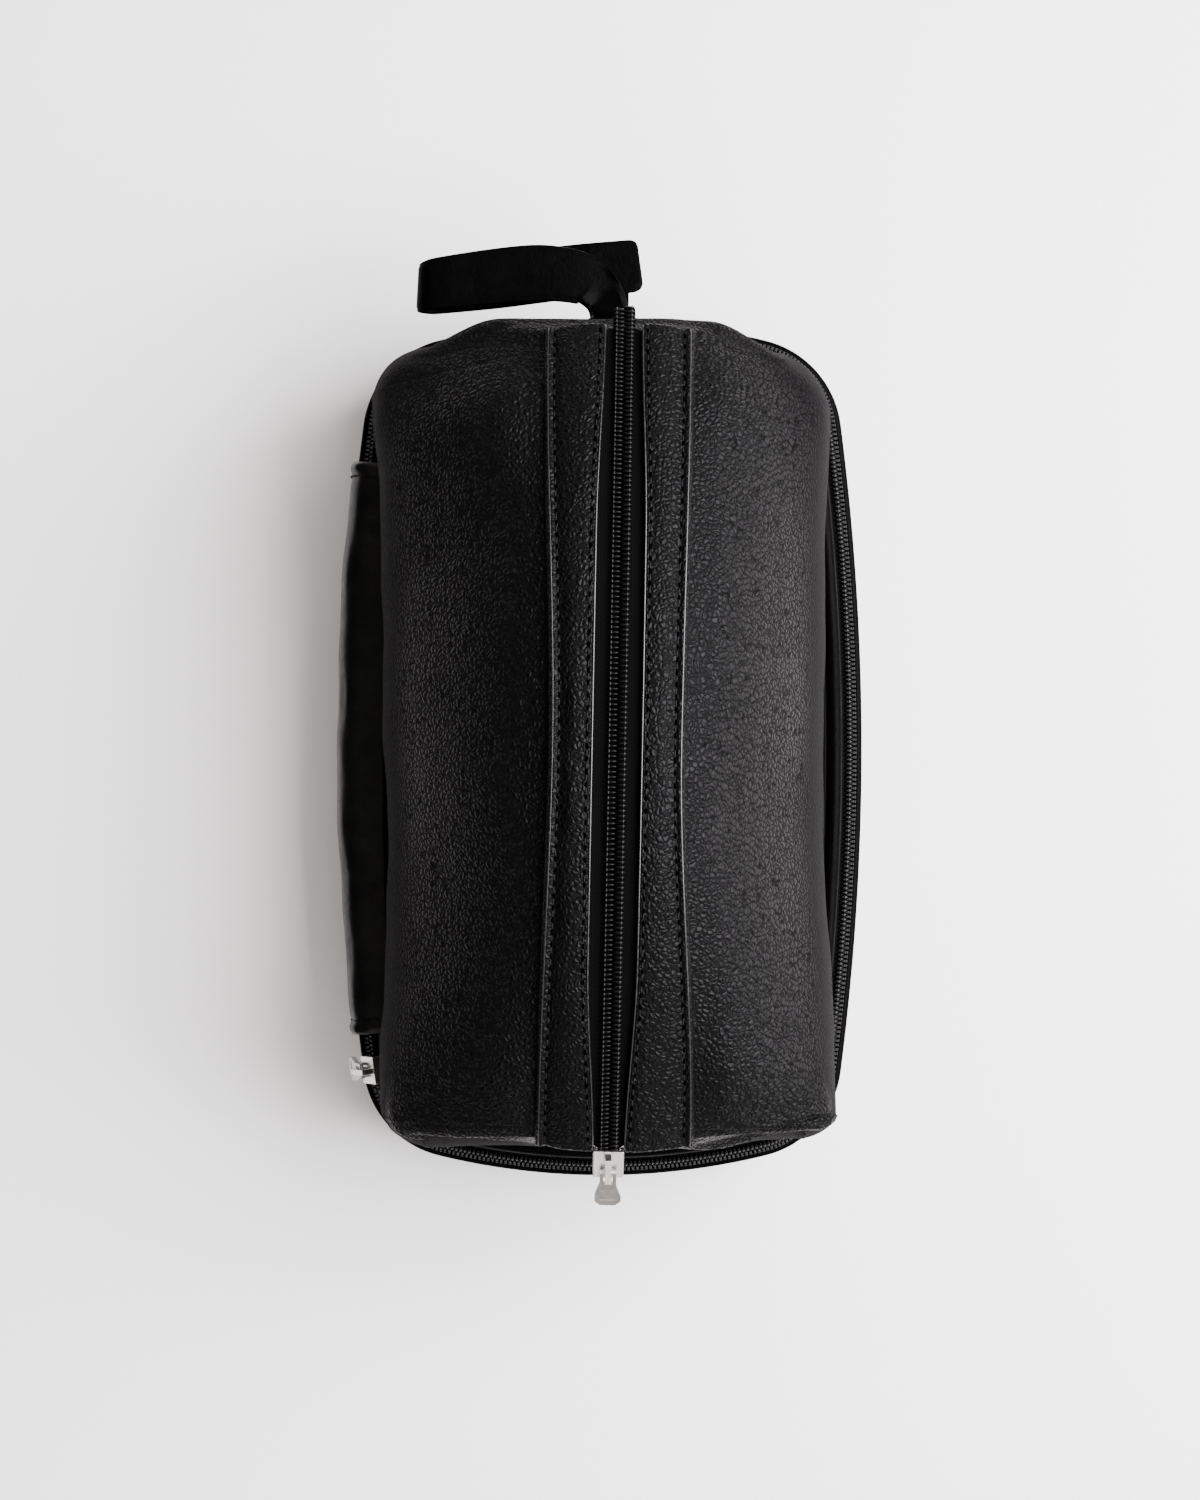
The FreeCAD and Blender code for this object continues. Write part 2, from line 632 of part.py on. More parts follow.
def make_pull(label):
    """Flat pull with a round pivot: local X along the pivot, local -Y towards the tip."""
    tip, wide, narrow = -size("pull_length"), size("pull_half"), size("pull_neck")
    neck_end, flare_end = -4.8, -9.4
    bevel = 1.6
    eye_half, eye_near, eye_far = 1.4, -0.35, -4.4
    slot_half, slot_near, slot_far = 2.4, -9.9, -11.0
    outline = [(narrow, 0), (-narrow, 0), (-narrow, neck_end), (-wide, flare_end), (-wide, tip + bevel),
               (-wide + bevel, tip), (wide - bevel, tip), (wide, tip + bevel), (wide, flare_end),
               (narrow, neck_end)]
    eye = [(eye_half, eye_near), (-eye_half, eye_near), (-eye_half, eye_far), (eye_half, eye_far)]
    slot = [(slot_half, slot_near), (-slot_half, slot_near), (-slot_half, slot_far), (slot_half, slot_far)]
    plate = doc.addObject("PartDesign::Body", label + "_plate")
    sketch = new_sketch(plate, "XY_Plane", polygon(outline) + polygon(eye) + polygon(slot))
    padded(plate, sketch, "Sizes.pull_thick", both_ways=True)
    pivot = doc.addObject("Part::Cylinder", label + "_pivot")
    pivot.setExpression("Radius", "Sizes.pull_thick / 2")
    pivot.setExpression("Height", "2 * Sizes.pull_neck")
    pivot.Placement = FreeCAD.Placement(Vector(-narrow, 0, 0), FreeCAD.Rotation(Vector(0, 1, 0), 90))
    pull = doc.addObject("Part::MultiFuse", label)
    pull.Shapes = [plate, pivot]
    return keep(pull, label)


def frame_rotation(x_axis, y_axis, z_axis):
    return FreeCAD.Rotation(x_axis, y_axis, z_axis, "XYZ")


TOP_SLIDER_Y = -118.5        # the top slider rests at this place along the bag
TOP_PULL_DIP = 11.0          # the pull's slope below the chain
SLIDER_BAR = (1.4, 4.1)      # a pull's bar: this far ahead of the slider's middle, and above the coil


def place_top_slider(slider, pull):
    """On the arch, at the front end of the zip, with the pull lying forwards."""
    turn = arch_turn(TOP_SLIDER_Y)
    tilt = ASKEW.multiply(FreeCAD.Rotation(Vector(1, 0, 0), -turn))
    centre = ARCH_CENTRE + tilt.multVec(Vector(0, 0, COIL_RADIUS))
    slider.Placement = FreeCAD.Placement(centre, tilt)
    ahead, above = SLIDER_BAR
    bar = centre + tilt.multVec(Vector(0, -ahead, above))
    dip = ASKEW.multiply(FreeCAD.Rotation(Vector(1, 0, 0), -turn + TOP_PULL_DIP))
    pull.Placement = FreeCAD.Placement(bar, dip)
    return bar


PERIMETER_REST = 185.0       # the tray zip's slider rests at this angle of the front left corner
PERIMETER_FACING = 187.4     # the way it faces there
PERIMETER_HANG = 20.0        # the pull leans this far out from straight down


def place_perimeter_slider(slider, pull):
    """Round the front left corner, with the pull hanging down outside the band."""
    arc = outline_arcs()["front_left"]
    offset, height = zip_point(0, 0)
    centre = arc.point(PERIMETER_REST, offset, height)
    facing = math.radians(PERIMETER_FACING)
    outwards = Vector(math.cos(facing), math.sin(facing), 0)
    up = Vector(0, 0, 1)
    along = up.cross(outwards)
    across = outwards * UP_THE_ZIP[0] + up * UP_THE_ZIP[1]
    out = outwards * OUT_OF_ZIP[0] + up * OUT_OF_ZIP[1]
    slider.Placement = FreeCAD.Placement(centre, frame_rotation(across, -along, out))
    ahead, above = SLIDER_BAR
    bar = centre + out * above - across * ahead
    hang = math.radians(PERIMETER_HANG)
    towards_tip = outwards * math.sin(hang) - up * math.cos(hang)
    normal = along.cross(-towards_tip)
    pull.Placement = FreeCAD.Placement(bar, frame_rotation(along, -towards_tip, normal))
    return bar


# ---------------------------------------------------------------- the handle

HANDLE_AXIS_Y = size("handle_near") - 1.4
ROLL_RADIUS = 1.3
NECK_CLEAR = 5.8             # behind the axis, past the reach of the strap's corners
NECK_SLOPE = 12.0            # degrees from upright of the gathers' face
NECK_FLARE = 5.0             # the gathers widen this much on each side towards the top


def make_handle():
    """Folded strap lying along the back end."""
    strap, gap = size("strap"), size("strap_gap")
    middle = size("handle_height")
    inner, outer = gap / 2, gap / 2 + strap
    bend = size("handle_left") + outer
    top_end, tail = size("tongue_middle") + size("tongue_half"), size("handle_right")

    def at(x, z):
        return Vector(x, middle + z, 0)

    centre = at(bend, 0)
    outer_bend = Part.ArcOfCircle(Part.Circle(centre, Vector(0, 0, 1), outer), math.pi / 2, 1.5 * math.pi)
    inner_bend = Part.ArcOfCircle(Part.Circle(centre, Vector(0, 0, 1), inner), math.pi / 2, 1.5 * math.pi)
    geometry = [outer_bend, inner_bend,
                Part.LineSegment(at(bend, outer), at(top_end, outer)),
                Part.LineSegment(at(top_end, outer), at(top_end, inner)),
                Part.LineSegment(at(top_end, inner), at(bend, inner)),
                Part.LineSegment(at(bend, -inner), at(tail, -inner)),
                Part.LineSegment(at(tail, -inner), at(tail, -outer)),
                Part.LineSegment(at(tail, -outer), at(bend, -outer))]
    body = new_body("handle_strap")
    sketch = new_sketch(body, "XZ_Plane", geometry, "-Sizes.handle_near - Sizes.strap_width")
    padded(body, sketch, "Sizes.strap_width")

    tongue = bound_box("handle_tongue",
                       ("2 * Sizes.tongue_half", "Sizes.strap_width - 1", "Sizes.strap_gap"),
                       ("Sizes.tongue_middle - Sizes.tongue_half", "Sizes.handle_near + 0.5",
                        "Sizes.handle_height - Sizes.strap_gap / 2"))
    keep(tongue, "handle_tongue")


def make_neck(shell):
    """Gathered leather on the back wall, and the leaf with a rolled edge that the handle swings on."""
    height, middle = size("handle_height"), size("tongue_middle")
    low_half = size("tongue_half")
    high_half = low_half + NECK_FLARE
    wall_face = HANDLE_AXIS_Y - NECK_CLEAR
    reach, rise, drop = 12.0, 22.0, 4.0      # the gathers' depth, and their ends above and below the strap
    far = 60.0                               # past every corner of the gathers
    section = [Vector(middle - high_half, 0, height + rise), Vector(middle + high_half, 0, height + rise),
               Vector(middle + low_half, 0, height - drop), Vector(middle - low_half, 0, height - drop)]
    face = Part.Face(Part.makePolygon(section + section[:1]))
    face.translate(Vector(0, wall_face - reach, 0))
    gathers = face.extrude(Vector(0, reach, 0))
    above = Part.makeBox(far, far, far, Vector(-far / 2, 0, 0), Vector(0, 0, 1))
    above.rotate(Vector(0, 0, 0), Vector(1, 0, 0), NECK_SLOPE)
    above.translate(Vector(0, wall_face, height))
    near_left = Vector(middle - low_half, HANDLE_AXIS_Y, height)
    roll = Part.makeCylinder(ROLL_RADIUS, 2 * low_half, near_left, Vector(1, 0, 0))
    leaf = Part.makeBox(2 * low_half, NECK_CLEAR + reach / 2, 2 * ROLL_RADIUS,
                        near_left - Vector(0, NECK_CLEAR + reach / 2, ROLL_RADIUS))
    neck = joined([gathers.cut(above), leaf, roll]).cut(shell)
    keep_shape(neck, "handle_neck")


# ---------------------------------------------------------------- build, check, write

def check_document():
    """Stop if any object failed or any sub-part isn't a sound solid."""
    for item in doc.Objects:
        if "Invalid" in item.State or "Error" in item.State:
            raise RuntimeError("failed object: " + item.Label)
    for item in sub_parts:
        shape = item.Shape
        if shape.isNull() or not shape.isValid() or not shape.Solids:
            raise RuntimeError("unsound sub-part: " + item.Label)


def write_parts():
    os.makedirs("parts", exist_ok=True)
    for item in sub_parts:
        item.Shape.exportStep(os.path.join("parts", item.Label + ".step"))


make_base()
make_tray_band()
make_tray_lining()
make_tray_welt()
make_tray_zip()
make_spine()
make_divider()
shell_form = make_shell()
make_mouth()
make_zip_ends()
make_handle()
make_neck(shell_form)
top_slider = make_slider("top_slider", bridge_across=False)
top_pull = make_pull("top_pull")
top_bar = place_top_slider(top_slider, top_pull)
tray_slider = make_slider("perimeter_slider", bridge_across=True)
tray_pull = make_pull("perimeter_pull")
tray_bar = place_perimeter_slider(tray_slider, tray_pull)
doc.recompute()
check_document()
write_parts()

print("front left corner centre", -corner.x, -corner.y)
print("arch centre", tuple(ARCH_CENTRE), "coil radius", COIL_RADIUS)
print("top pull bar", tuple(top_bar))
print("perimeter pull bar", tuple(tray_bar))
print("sub-parts", len(sub_parts))
for item in sub_parts:
    box = item.Shape.BoundBox
    print("%-20s solids %d volume %9.1f  x %.1f %.1f  y %.1f %.1f  z %.1f %.1f" % (
        item.Label, len(item.Shape.Solids), item.Shape.Volume,
        box.XMin, box.XMax, box.YMin, box.YMax, box.ZMin, box.ZMax))
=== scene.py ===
import math

import bmesh
import bpy
import numpy as np
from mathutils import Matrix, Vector


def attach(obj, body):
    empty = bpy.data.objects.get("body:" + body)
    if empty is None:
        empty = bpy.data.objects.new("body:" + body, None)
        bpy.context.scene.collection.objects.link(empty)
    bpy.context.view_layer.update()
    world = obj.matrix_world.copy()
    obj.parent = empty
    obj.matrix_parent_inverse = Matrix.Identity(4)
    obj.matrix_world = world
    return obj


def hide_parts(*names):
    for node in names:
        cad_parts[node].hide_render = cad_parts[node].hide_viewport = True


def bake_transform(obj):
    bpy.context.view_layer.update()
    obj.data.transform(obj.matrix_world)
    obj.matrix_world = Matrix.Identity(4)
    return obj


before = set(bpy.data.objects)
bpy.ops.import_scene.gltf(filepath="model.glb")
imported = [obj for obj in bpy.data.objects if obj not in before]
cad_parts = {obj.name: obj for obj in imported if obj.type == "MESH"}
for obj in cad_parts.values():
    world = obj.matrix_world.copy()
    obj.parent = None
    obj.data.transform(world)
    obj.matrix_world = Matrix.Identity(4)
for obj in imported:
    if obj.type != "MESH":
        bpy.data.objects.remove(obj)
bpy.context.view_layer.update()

MM = 0.001

# The tray's outline and the zips, in millimetres: the same driving sizes as the CAD model.
HALF_WIDTH, HALF_LENGTH = 83.3, 137.5
SIDE_BOW, END_BOW, CORNER_ROUND = 810.0, 222.0, 31.5
CORNER_X, CORNER_Y = 45.28, 100.54
ZIP_PLANE, ZIP_INSET, ZIP_LEAN = 42.0, 3.8, math.radians(58)
SPINE_HALF = 91.0
FLOOR_TOP = 47.4
UPPER_INSET = 12.3
CROWN, ARCH_ROUND, ARCH_MIDDLE, ZIP_SIDE = 150.0, 280.0, 2.0, 4.0
ARCH_Z = CROWN - ARCH_ROUND
ZIP_YAW = math.radians(-1.1)
COIL_RADIUS = ARCH_ROUND - 0.9
ZIP_FRONT, ZIP_BACK = -119.0, 127.4
FACING_FRONT, FACING_BACK = -115.0, 121.0
TOOTH_PITCH = 1.43
STITCH_PITCH = 3.5

rng = np.random.default_rng(7)


# ---------------------------------------------------------------- mesh helpers

def new_piece(name, verts, faces, material, smooth=True, slots=None):
    """Mesh object from points in millimetres."""
    mesh = bpy.data.meshes.new(name)
    mesh.from_pydata((np.asarray(verts, float) * MM).tolist(), [], faces)
    mesh.validate()
    for item in (material if isinstance(material, list) else [material]):
        mesh.materials.append(item)
    mesh.polygons.foreach_set("use_smooth", [smooth] * len(mesh.polygons))
    if slots is not None:
        mesh.polygons.foreach_set("material_index", slots)
    mesh.update()
    face_outwards(mesh)
    piece = bpy.data.objects.new(name, mesh)
    bpy.context.collection.objects.link(piece)
    return piece


def face_outwards(mesh):
    """Turn every face's normal to the outside."""
    work = bmesh.new()
    work.from_mesh(mesh)
    bmesh.ops.recalc_face_normals(work, faces=work.faces)
    work.to_mesh(mesh)
    work.free()


def swept(rings, closed_path=False, first_cap=True, last_cap=True):
    """Points and faces of closed rings joined in order, with caps at the chosen ends."""
    rings = np.asarray(rings, float)
    count, around = rings.shape[:2]
    faces = []
    for i in range(count if closed_path else count - 1):
        a, b = i * around, ((i + 1) % count) * around
        for j in range(around):
            k = (j + 1) % around
            faces.append((a + j, a + k, b + k, b + j))
    if first_cap and not closed_path:
        faces.append(tuple(range(around))[::-1])
    if last_cap and not closed_path:
        faces.append(tuple(range((count - 1) * around, count * around)))
    return rings.reshape(-1, 3), faces


def merge(parts):
    """Join (points, faces) pairs."""
    verts, faces, base = [], [], 0
    for points, quads in parts:
        verts.append(points)
        faces.extend([tuple(i + base for i in face) for face in quads])
        base += len(points)
    return np.concatenate(verts), faces


def layered(*layers):
    """Join (points, faces) layers, each of which takes the piece's material of the same number."""
    verts, faces = merge(layers)
    slots = [number for number, (_, quads) in enumerate(layers) for _ in quads]
    return verts, faces, slots


def capsule(length, width, height, around=8, along=6):
    """A rounded bar along its first axis, centred on the origin."""
    turns = np.linspace(0, 2 * np.pi, around, endpoint=False)
    steps = np.linspace(-1, 1, along)
    rings = []
    for step in steps:
        shrink = max(0.18, (1 - abs(step) ** 3.2)) ** 0.5
        rings.append(np.stack([np.full(around, step * length / 2),
                               np.cos(turns) * width / 2 * shrink,
                               np.sin(turns) * height / 2 * shrink], axis=1))
    return swept(rings)


def placed(shape, centre, first, second, third):
    """A small shape moved to a place with its axes along three directions."""
    points, faces = shape
    basis = np.stack([first, second, third])
    return points @ basis + np.asarray(centre), faces


def unit(vector):
    vector = np.asarray(vector, float)
    return vector / np.linalg.norm(vector)


STITCH = capsule(2.0, 0.5, 0.4)
# Small dark bump that stands for a needle hole's shadow: painted shade, not a real hollow.
PRICKED_HOLE = capsule(1.5, 0.85, 0.5)
TOP_TOOTH = capsule(3.1, 0.98, 1.75, along=7)
TRAY_TOOTH = capsule(3.1, 0.98, 1.75)
COIL_STITCH = capsule(1.0, 0.42, 0.36, around=6, along=4)


# ---------------------------------------------------------------- the outline as a path

SIDE_TURN = math.atan2(CORNER_Y, CORNER_X - (HALF_WIDTH - SIDE_BOW))
END_TURN = math.atan2(CORNER_Y - (HALF_LENGTH - END_BOW), CORNER_X)
SPINE_TURN = math.asin(SPINE_HALF / SIDE_BOW)


def outline_arcs():
    """Centre, radius, start and stop of each arc, anticlockwise from the left side's middle."""
    side, end = HALF_WIDTH - SIDE_BOW, HALF_LENGTH - END_BOW
    pi = math.pi
    return [
        (-side, 0, SIDE_BOW, pi, pi + SIDE_TURN),
        (-CORNER_X, -CORNER_Y, CORNER_ROUND, pi + SIDE_TURN, pi + END_TURN),
        (0, -end, END_BOW, pi + END_TURN, 2 * pi - END_TURN),
        (CORNER_X, -CORNER_Y, CORNER_ROUND, 2 * pi - END_TURN, 2 * pi - SIDE_TURN),
        (side, 0, SIDE_BOW, 2 * pi - SIDE_TURN, 2 * pi + SIDE_TURN),
        (CORNER_X, CORNER_Y, CORNER_ROUND, SIDE_TURN, END_TURN),
        (0, end, END_BOW, END_TURN, pi - END_TURN),
        (-CORNER_X, CORNER_Y, CORNER_ROUND, pi - END_TURN, pi - SIDE_TURN),
        (-side, 0, SIDE_BOW, pi - SIDE_TURN, pi),
    ]


ARCS = outline_arcs()
ARC_LENGTHS = [radius * (stop - start) for _, _, radius, start, stop in ARCS]
OUTLINE_LENGTH = sum(ARC_LENGTHS)
SPINE_LENGTH = SPINE_TURN * SIDE_BOW
ZIP_END_TURN = math.radians(20)
ZIP_END_LENGTH = ARC_LENGTHS[0] + CORNER_ROUND * (ZIP_END_TURN - SIDE_TURN)


def outline_place(run):
    """(x, y) and outward direction at a distance along the outline from the left side's middle."""
    run = run % OUTLINE_LENGTH
    for (x, y, radius, start, _), length in zip(ARCS, ARC_LENGTHS):
        if run <= length:
            turn = start + run / radius
            out = np.array([math.cos(turn), math.sin(turn)])
            return np.array([x, y]) + radius * out, out
        run -= length
    return outline_place(0.0)


def outline_rings(profile, start, stop, step):
    """A profile of (offset, height) points carried along the outline."""
    rings = []
    for run in np.linspace(start, stop, max(2, int(round((stop - start) / step)) + 1)):
        place, out = outline_place(run)
        rings.append([[*(place + out * offset), z] for offset, z in profile])
    return rings


def whole_outline(profile, count=400):
    """The same all the way round, for a path that closes on itself."""
    return outline_rings(profile, 0, OUTLINE_LENGTH * (1 - 1 / count), OUTLINE_LENGTH / count)


def zip_point(up, out):
    """(offset, height) across and out from the tray zip's centre line."""
    return (-ZIP_INSET - up * math.cos(ZIP_LEAN) + out * math.sin(ZIP_LEAN),
            ZIP_PLANE + up * math.sin(ZIP_LEAN) + out * math.cos(ZIP_LEAN))


def round_profile(offset, z, radius, sides=14):
    turns = np.linspace(0, 2 * np.pi, sides, endpoint=False)
    return [(offset + radius * math.cos(turn), z + radius * math.sin(turn)) for turn in turns]


# ---------------------------------------------------------------- the arch of the top zip

ARCH_CENTRE = np.array([ZIP_SIDE, ARCH_MIDDLE, ARCH_Z])
ACROSS_ZIP = np.array([math.cos(ZIP_YAW), math.sin(ZIP_YAW), 0.0])
ALONG_ZIP = np.array([-math.sin(ZIP_YAW), math.cos(ZIP_YAW), 0.0])
UP = np.array([0.0, 0.0, 1.0])


def arch_angle(y):
    return math.asin((y - ARCH_MIDDLE) / COIL_RADIUS)


def arch_place(y, level, x):
    """Point on the arch at a distance x from the zip and a level above the coil's centre."""
    angle, radius = arch_angle(y), COIL_RADIUS + level
    return (ARCH_CENTRE + ACROSS_ZIP * x + ALONG_ZIP * (radius * math.sin(angle))
            + UP * (radius * math.cos(angle)))


def arch_axes(y):
    """Across, along and outward directions on the arch."""
    angle = arch_angle(y)
    along = ALONG_ZIP * math.cos(angle) - UP * math.sin(angle)
    outward = ALONG_ZIP * math.sin(angle) + UP * math.cos(angle)
    return ACROSS_ZIP, along, outward


def arch_stations(y_low, y_high, step):
    """Places along the arch at equal steps of its own length."""
    low, high = arch_angle(y_low), arch_angle(y_high)
    count = max(2, int(round((high - low) * COIL_RADIUS / step)) + 1)
    return ARCH_MIDDLE + COIL_RADIUS * np.sin(np.linspace(low, high, count))


def ease(value, low, high):
    t = np.clip((np.asarray(value, float) - low) / (high - low), 0, 1)
    return t * t * (3 - 2 * t)


# Distances of the facings' two edges from the zip, at the middle, back and front of the mouth.
ZIP_EDGE = (6.9, 5.4, 4.6)
SEAM_EDGE = {-1: (19.0, 22.8, 21.3), 1: (19.0, 20.3, 24.5)}


def facing_inner(y):
    """Zip side of a facing: it closes in a little at both ends."""
    middle, back, front = ZIP_EDGE
    return (middle - (middle - back) * float(ease(y, 60, FACING_BACK))
            - (middle - front) * float(ease(-y, 60, -FACING_FRONT)))


def facing_outer(y, side):
    """Seam side of a facing: it widens towards both ends."""
    middle, back, front = SEAM_EDGE[side]
    return (middle + (back - middle) * float(ease(y, 0, FACING_BACK))
            + (front - middle) * float(ease(-y, 0, -FACING_FRONT)))


# ---------------------------------------------------------------- materials

class Shader:
    """A material's node tree, with short ways to add and join nodes."""

    def __init__(self, name, color, roughness, **settings):
        self.material = bpy.data.materials.new(name)
        self.material.use_nodes = True
        self.tree = self.material.node_tree
        self.bsdf = self.tree.nodes["Principled BSDF"]
        self.bsdf.inputs["Base Color"].default_value = (*color, 1)
        self.bsdf.inputs["Roughness"].default_value = roughness
        for key, value in settings.items():
            self.bsdf.inputs[key.replace("_", " ")].default_value = value
        self.material.diffuse_color = (*color, 1)

    def node(self, kind, inputs=None, **settings):
        made = self.tree.nodes.new(kind)
        for key, value in settings.items():
            setattr(made, key, value)
        for key, value in (inputs or {}).items():
            if isinstance(value, bpy.types.NodeSocket):
                self.tree.links.new(value, made.inputs[key])
            else:
                made.inputs[key].default_value = value
        return made

    def place(self):
        return self.node("ShaderNodeTexCoord").outputs["Object"]

    def noise(self, scale, detail=3.0, roughness=0.5, distortion=0.0):
        made = self.node("ShaderNodeTexNoise", {"Vector": self.place(), "Scale": scale, "Detail": detail,
                                                "Roughness": roughness, "Distortion": distortion})
        return made.outputs["Fac"]

    def waves(self, scale, direction, **inputs):
        """Even bands, such as the rows of a weave or the twist of a thread."""
        inputs.update({"Vector": self.place(), "Scale": scale})
        return self.node("ShaderNodeTexWave", inputs, bands_direction=direction).outputs["Fac"]

    def math(self, operation, first, second):
        return self.node("ShaderNodeMath", {0: first, 1: second}, operation=operation).outputs[0]

    def ramp(self, value, low, high, out_low=0.0, out_high=1.0):
        made = self.node("ShaderNodeMapRange", {"Value": value, "From Min": low, "From Max": high,
                                                "To Min": out_low, "To Max": out_high})
        made.interpolation_type = "SMOOTHSTEP"
        return made.outputs["Result"]

    def mix(self, value, first, second):
        made = self.node("ShaderNodeMix", {"Factor": value}, data_type="RGBA")
        made.inputs["A"].default_value = (*first, 1)
        made.inputs["B"].default_value = (*second, 1)
        return made.outputs["Result"]

    def link(self, output, socket):
        self.tree.links.new(output, self.bsdf.inputs[socket])

    def bump(self, layers):
        """Heights stacked as (height socket, strength, distance in metres)."""
        normal = None
        for height, strength, distance in layers:
            made = self.node("ShaderNodeBump",
                             {"Height": height, "Strength": strength, "Distance": distance})
            if normal is not None:
                self.tree.links.new(normal, made.inputs["Normal"])
            normal = made.outputs["Normal"]
        self.link(normal, "Normal")
        return self.material


def pebbled_leather():
    """Black leather with rounded pebbles of about 1.6 mm between fine creases, duller on the walls; painted
    shade darkens the creases.
    """
    look = Shader("pebbled_leather", (0.0009, 0.0009, 0.001), 0.45, Specular_IOR_Level=0.07)
    place = look.place()
    drift = look.node("ShaderNodeTexNoise",
                      {"Vector": place, "Scale": 330.0, "Detail": 2.0}).outputs["Color"]
    sway = look.node("ShaderNodeVectorMath", {0: drift, "Scale": 0.0016}, operation="SCALE").outputs[0]
    moved = look.node("ShaderNodeVectorMath", {0: place, 1: sway}, operation="ADD").outputs[0]
    gap = look.node("ShaderNodeTexVoronoi", {"Vector": moved, "Scale": 640.0},
                    feature="DISTANCE_TO_EDGE").outputs["Distance"]
    dome = look.ramp(gap, 0.0, 0.45)
    crease = look.ramp(gap, 0.01, 0.12)
    fine = look.noise(2400, 3.0, 0.6)
    broad = look.noise(45, 3.0)
    # Painted shade: the creases between the pebbles take a darker colour than the domes.
    look.link(look.mix(crease, (0.0001, 0.0001, 0.0001), (0.0008, 0.0007, 0.0009)), "Base Color")
    rubbed = look.ramp(look.math("ADD", crease, look.math("MULTIPLY", fine, 0.4)), 0.1, 1.1, 0.95, 0.42)
    position = look.node("ShaderNodeSeparateXYZ", {"Vector": place}).outputs
    front_folds = look.ramp(position["Y"], -0.113, -0.095, 0.008, 0.0)
    wall = look.ramp(look.math("ADD", position["Z"], front_folds), 0.1, 0.119, 0.6, 0.0)
    look.link(look.math("MINIMUM", look.math("ADD", rubbed, wall), 1.0), "Roughness")
    return look.bump([(broad, 0.12, 0.003), (dome, 0.8, 0.0003), (fine, 0.15, 0.00006)])


def smooth_leather(name, shine):
    """Black leather with a fine grain and a soft shine; painted shade darkens the valleys of its creases."""
    look = Shader(name, (0.0008, 0.0008, 0.0009), 0.38, Specular_IOR_Level=shine)
    cells = look.node("ShaderNodeTexVoronoi", {"Vector": look.place(), "Scale": 1500.0}).outputs["Distance"]
    creases = look.noise(120, 4.0, 0.6, distortion=0.6)
    fine = look.noise(3200, 2.0)
    look.link(look.ramp(creases, 0.3, 0.75, 0.33, 0.47), "Roughness")
    # Painted shade: the low parts of the crease pattern, which the bump turns into valleys, take a darker
    # colour.
    look.link(look.mix(creases, (0.0003, 0.0003, 0.0003), (0.0009, 0.0009, 0.001)), "Base Color")
    return look.bump([(creases, 0.3, 0.0009), (cells, 0.35, 0.00012), (fine, 0.15, 0.00005)])


def zip_tape():
    """Tightly woven black tape."""
    look = Shader("zip_tape", (0.0006, 0.0006, 0.0007), 0.85, Specular_IOR_Level=0.05)
    rows = look.waves(620.0, "Y", Distortion=0.6, Detail=1.0)
    columns = look.waves(480.0, "X", Distortion=0.4, Detail=1.0)
    weave = look.math("MULTIPLY", rows, columns)
    look.link(look.mix(weave, (0.0001, 0.0001, 0.0001), (0.0006, 0.0006, 0.0007)), "Base Color")
    return look.bump([(weave, 0.6, 0.00018)])


def zip_coil():
    """Black nylon monofilament."""
    look = Shader("zip_coil", (0.0008, 0.0008, 0.0009), 0.3, Specular_IOR_Level=0.08)
    fine = look.noise(900, 2.0)
    look.link(look.ramp(fine, 0.3, 0.7, 0.24, 0.4), "Roughness")
    return look.bump([(fine, 0.15, 0.00008)])


def twisted_thread(name, color, roughness, shine):
    """Waxed sewing thread, two strands twisted together."""
    look = Shader(name, color, roughness, Specular_IOR_Level=shine)
    twist = look.waves(1500.0, "DIAGONAL")
    return look.bump([(twist, 0.5, 0.0001)])


def needle_hole_shade():
    """Painted shade of the pricked holes between the stitches: dark marks standing for the shadow inside
    each hole.
    """
    look = Shader("needle_hole_shade", (0.0001, 0.0001, 0.0001), 0.9, Specular_IOR_Level=0.0)
    rough = look.noise(1800, 2.0)
    look.link(look.mix(rough, (0.0001, 0.0001, 0.0001), (0.0003, 0.0003, 0.0003)), "Base Color")
    return look.bump([(rough, 0.3, 0.0001)])


def edge_paint():
    """Polished black paint on the cut edges of the facings."""
    look = Shader("edge_paint", (0.001, 0.001, 0.001), 0.3, Specular_IOR_Level=0.5)
    uneven = look.noise(500, 2.0)
    look.link(look.ramp(uneven, 0.3, 0.7, 0.22, 0.42), "Roughness")
    return look.bump([(uneven, 0.2, 0.0001)])


def nickel():
    """Satin nickel with fine rubbing marks."""
    look = Shader("nickel", (0.6, 0.59, 0.57), 0.3, Metallic=1.0)
    marks = look.noise(700, 3.0, 0.6)
    cloud = look.noise(160, 2.0)
    look.link(look.ramp(marks, 0.3, 0.75, 0.28, 0.36), "Roughness")
    look.link(look.mix(cloud, (0.56, 0.55, 0.53), (0.64, 0.63, 0.61)), "Base Color")
    return look.bump([(marks, 0.02, 0.00002)])


def lining_cloth():
    """Dark grey plain-woven lining."""
    look = Shader("lining_cloth", (0.01, 0.01, 0.011), 0.85, Specular_IOR_Level=0.15)
    rows = look.math("MULTIPLY", look.waves(420.0, "Y"), 0.5)
    columns = look.math("MULTIPLY", look.waves(420.0, "X"), 0.5)
    weave = look.math("ADD", rows, columns)
    look.link(look.mix(weave, (0.006, 0.006, 0.0066), (0.014, 0.014, 0.015)), "Base Color")
    return look.bump([(weave, 0.5, 0.00015), (look.noise(60), 0.2, 0.001)])


def stiff_board():
    """Dark grey fibre board, hidden inside."""
    look = Shader("stiff_board", (0.02, 0.02, 0.02), 0.85, Specular_IOR_Level=0.2)
    fibres = look.noise(500, 5.0, 0.7)
    look.link(look.mix(fibres, (0.012, 0.012, 0.012), (0.03, 0.03, 0.028)), "Base Color")
    return look.bump([(fibres, 0.4, 0.0002)])


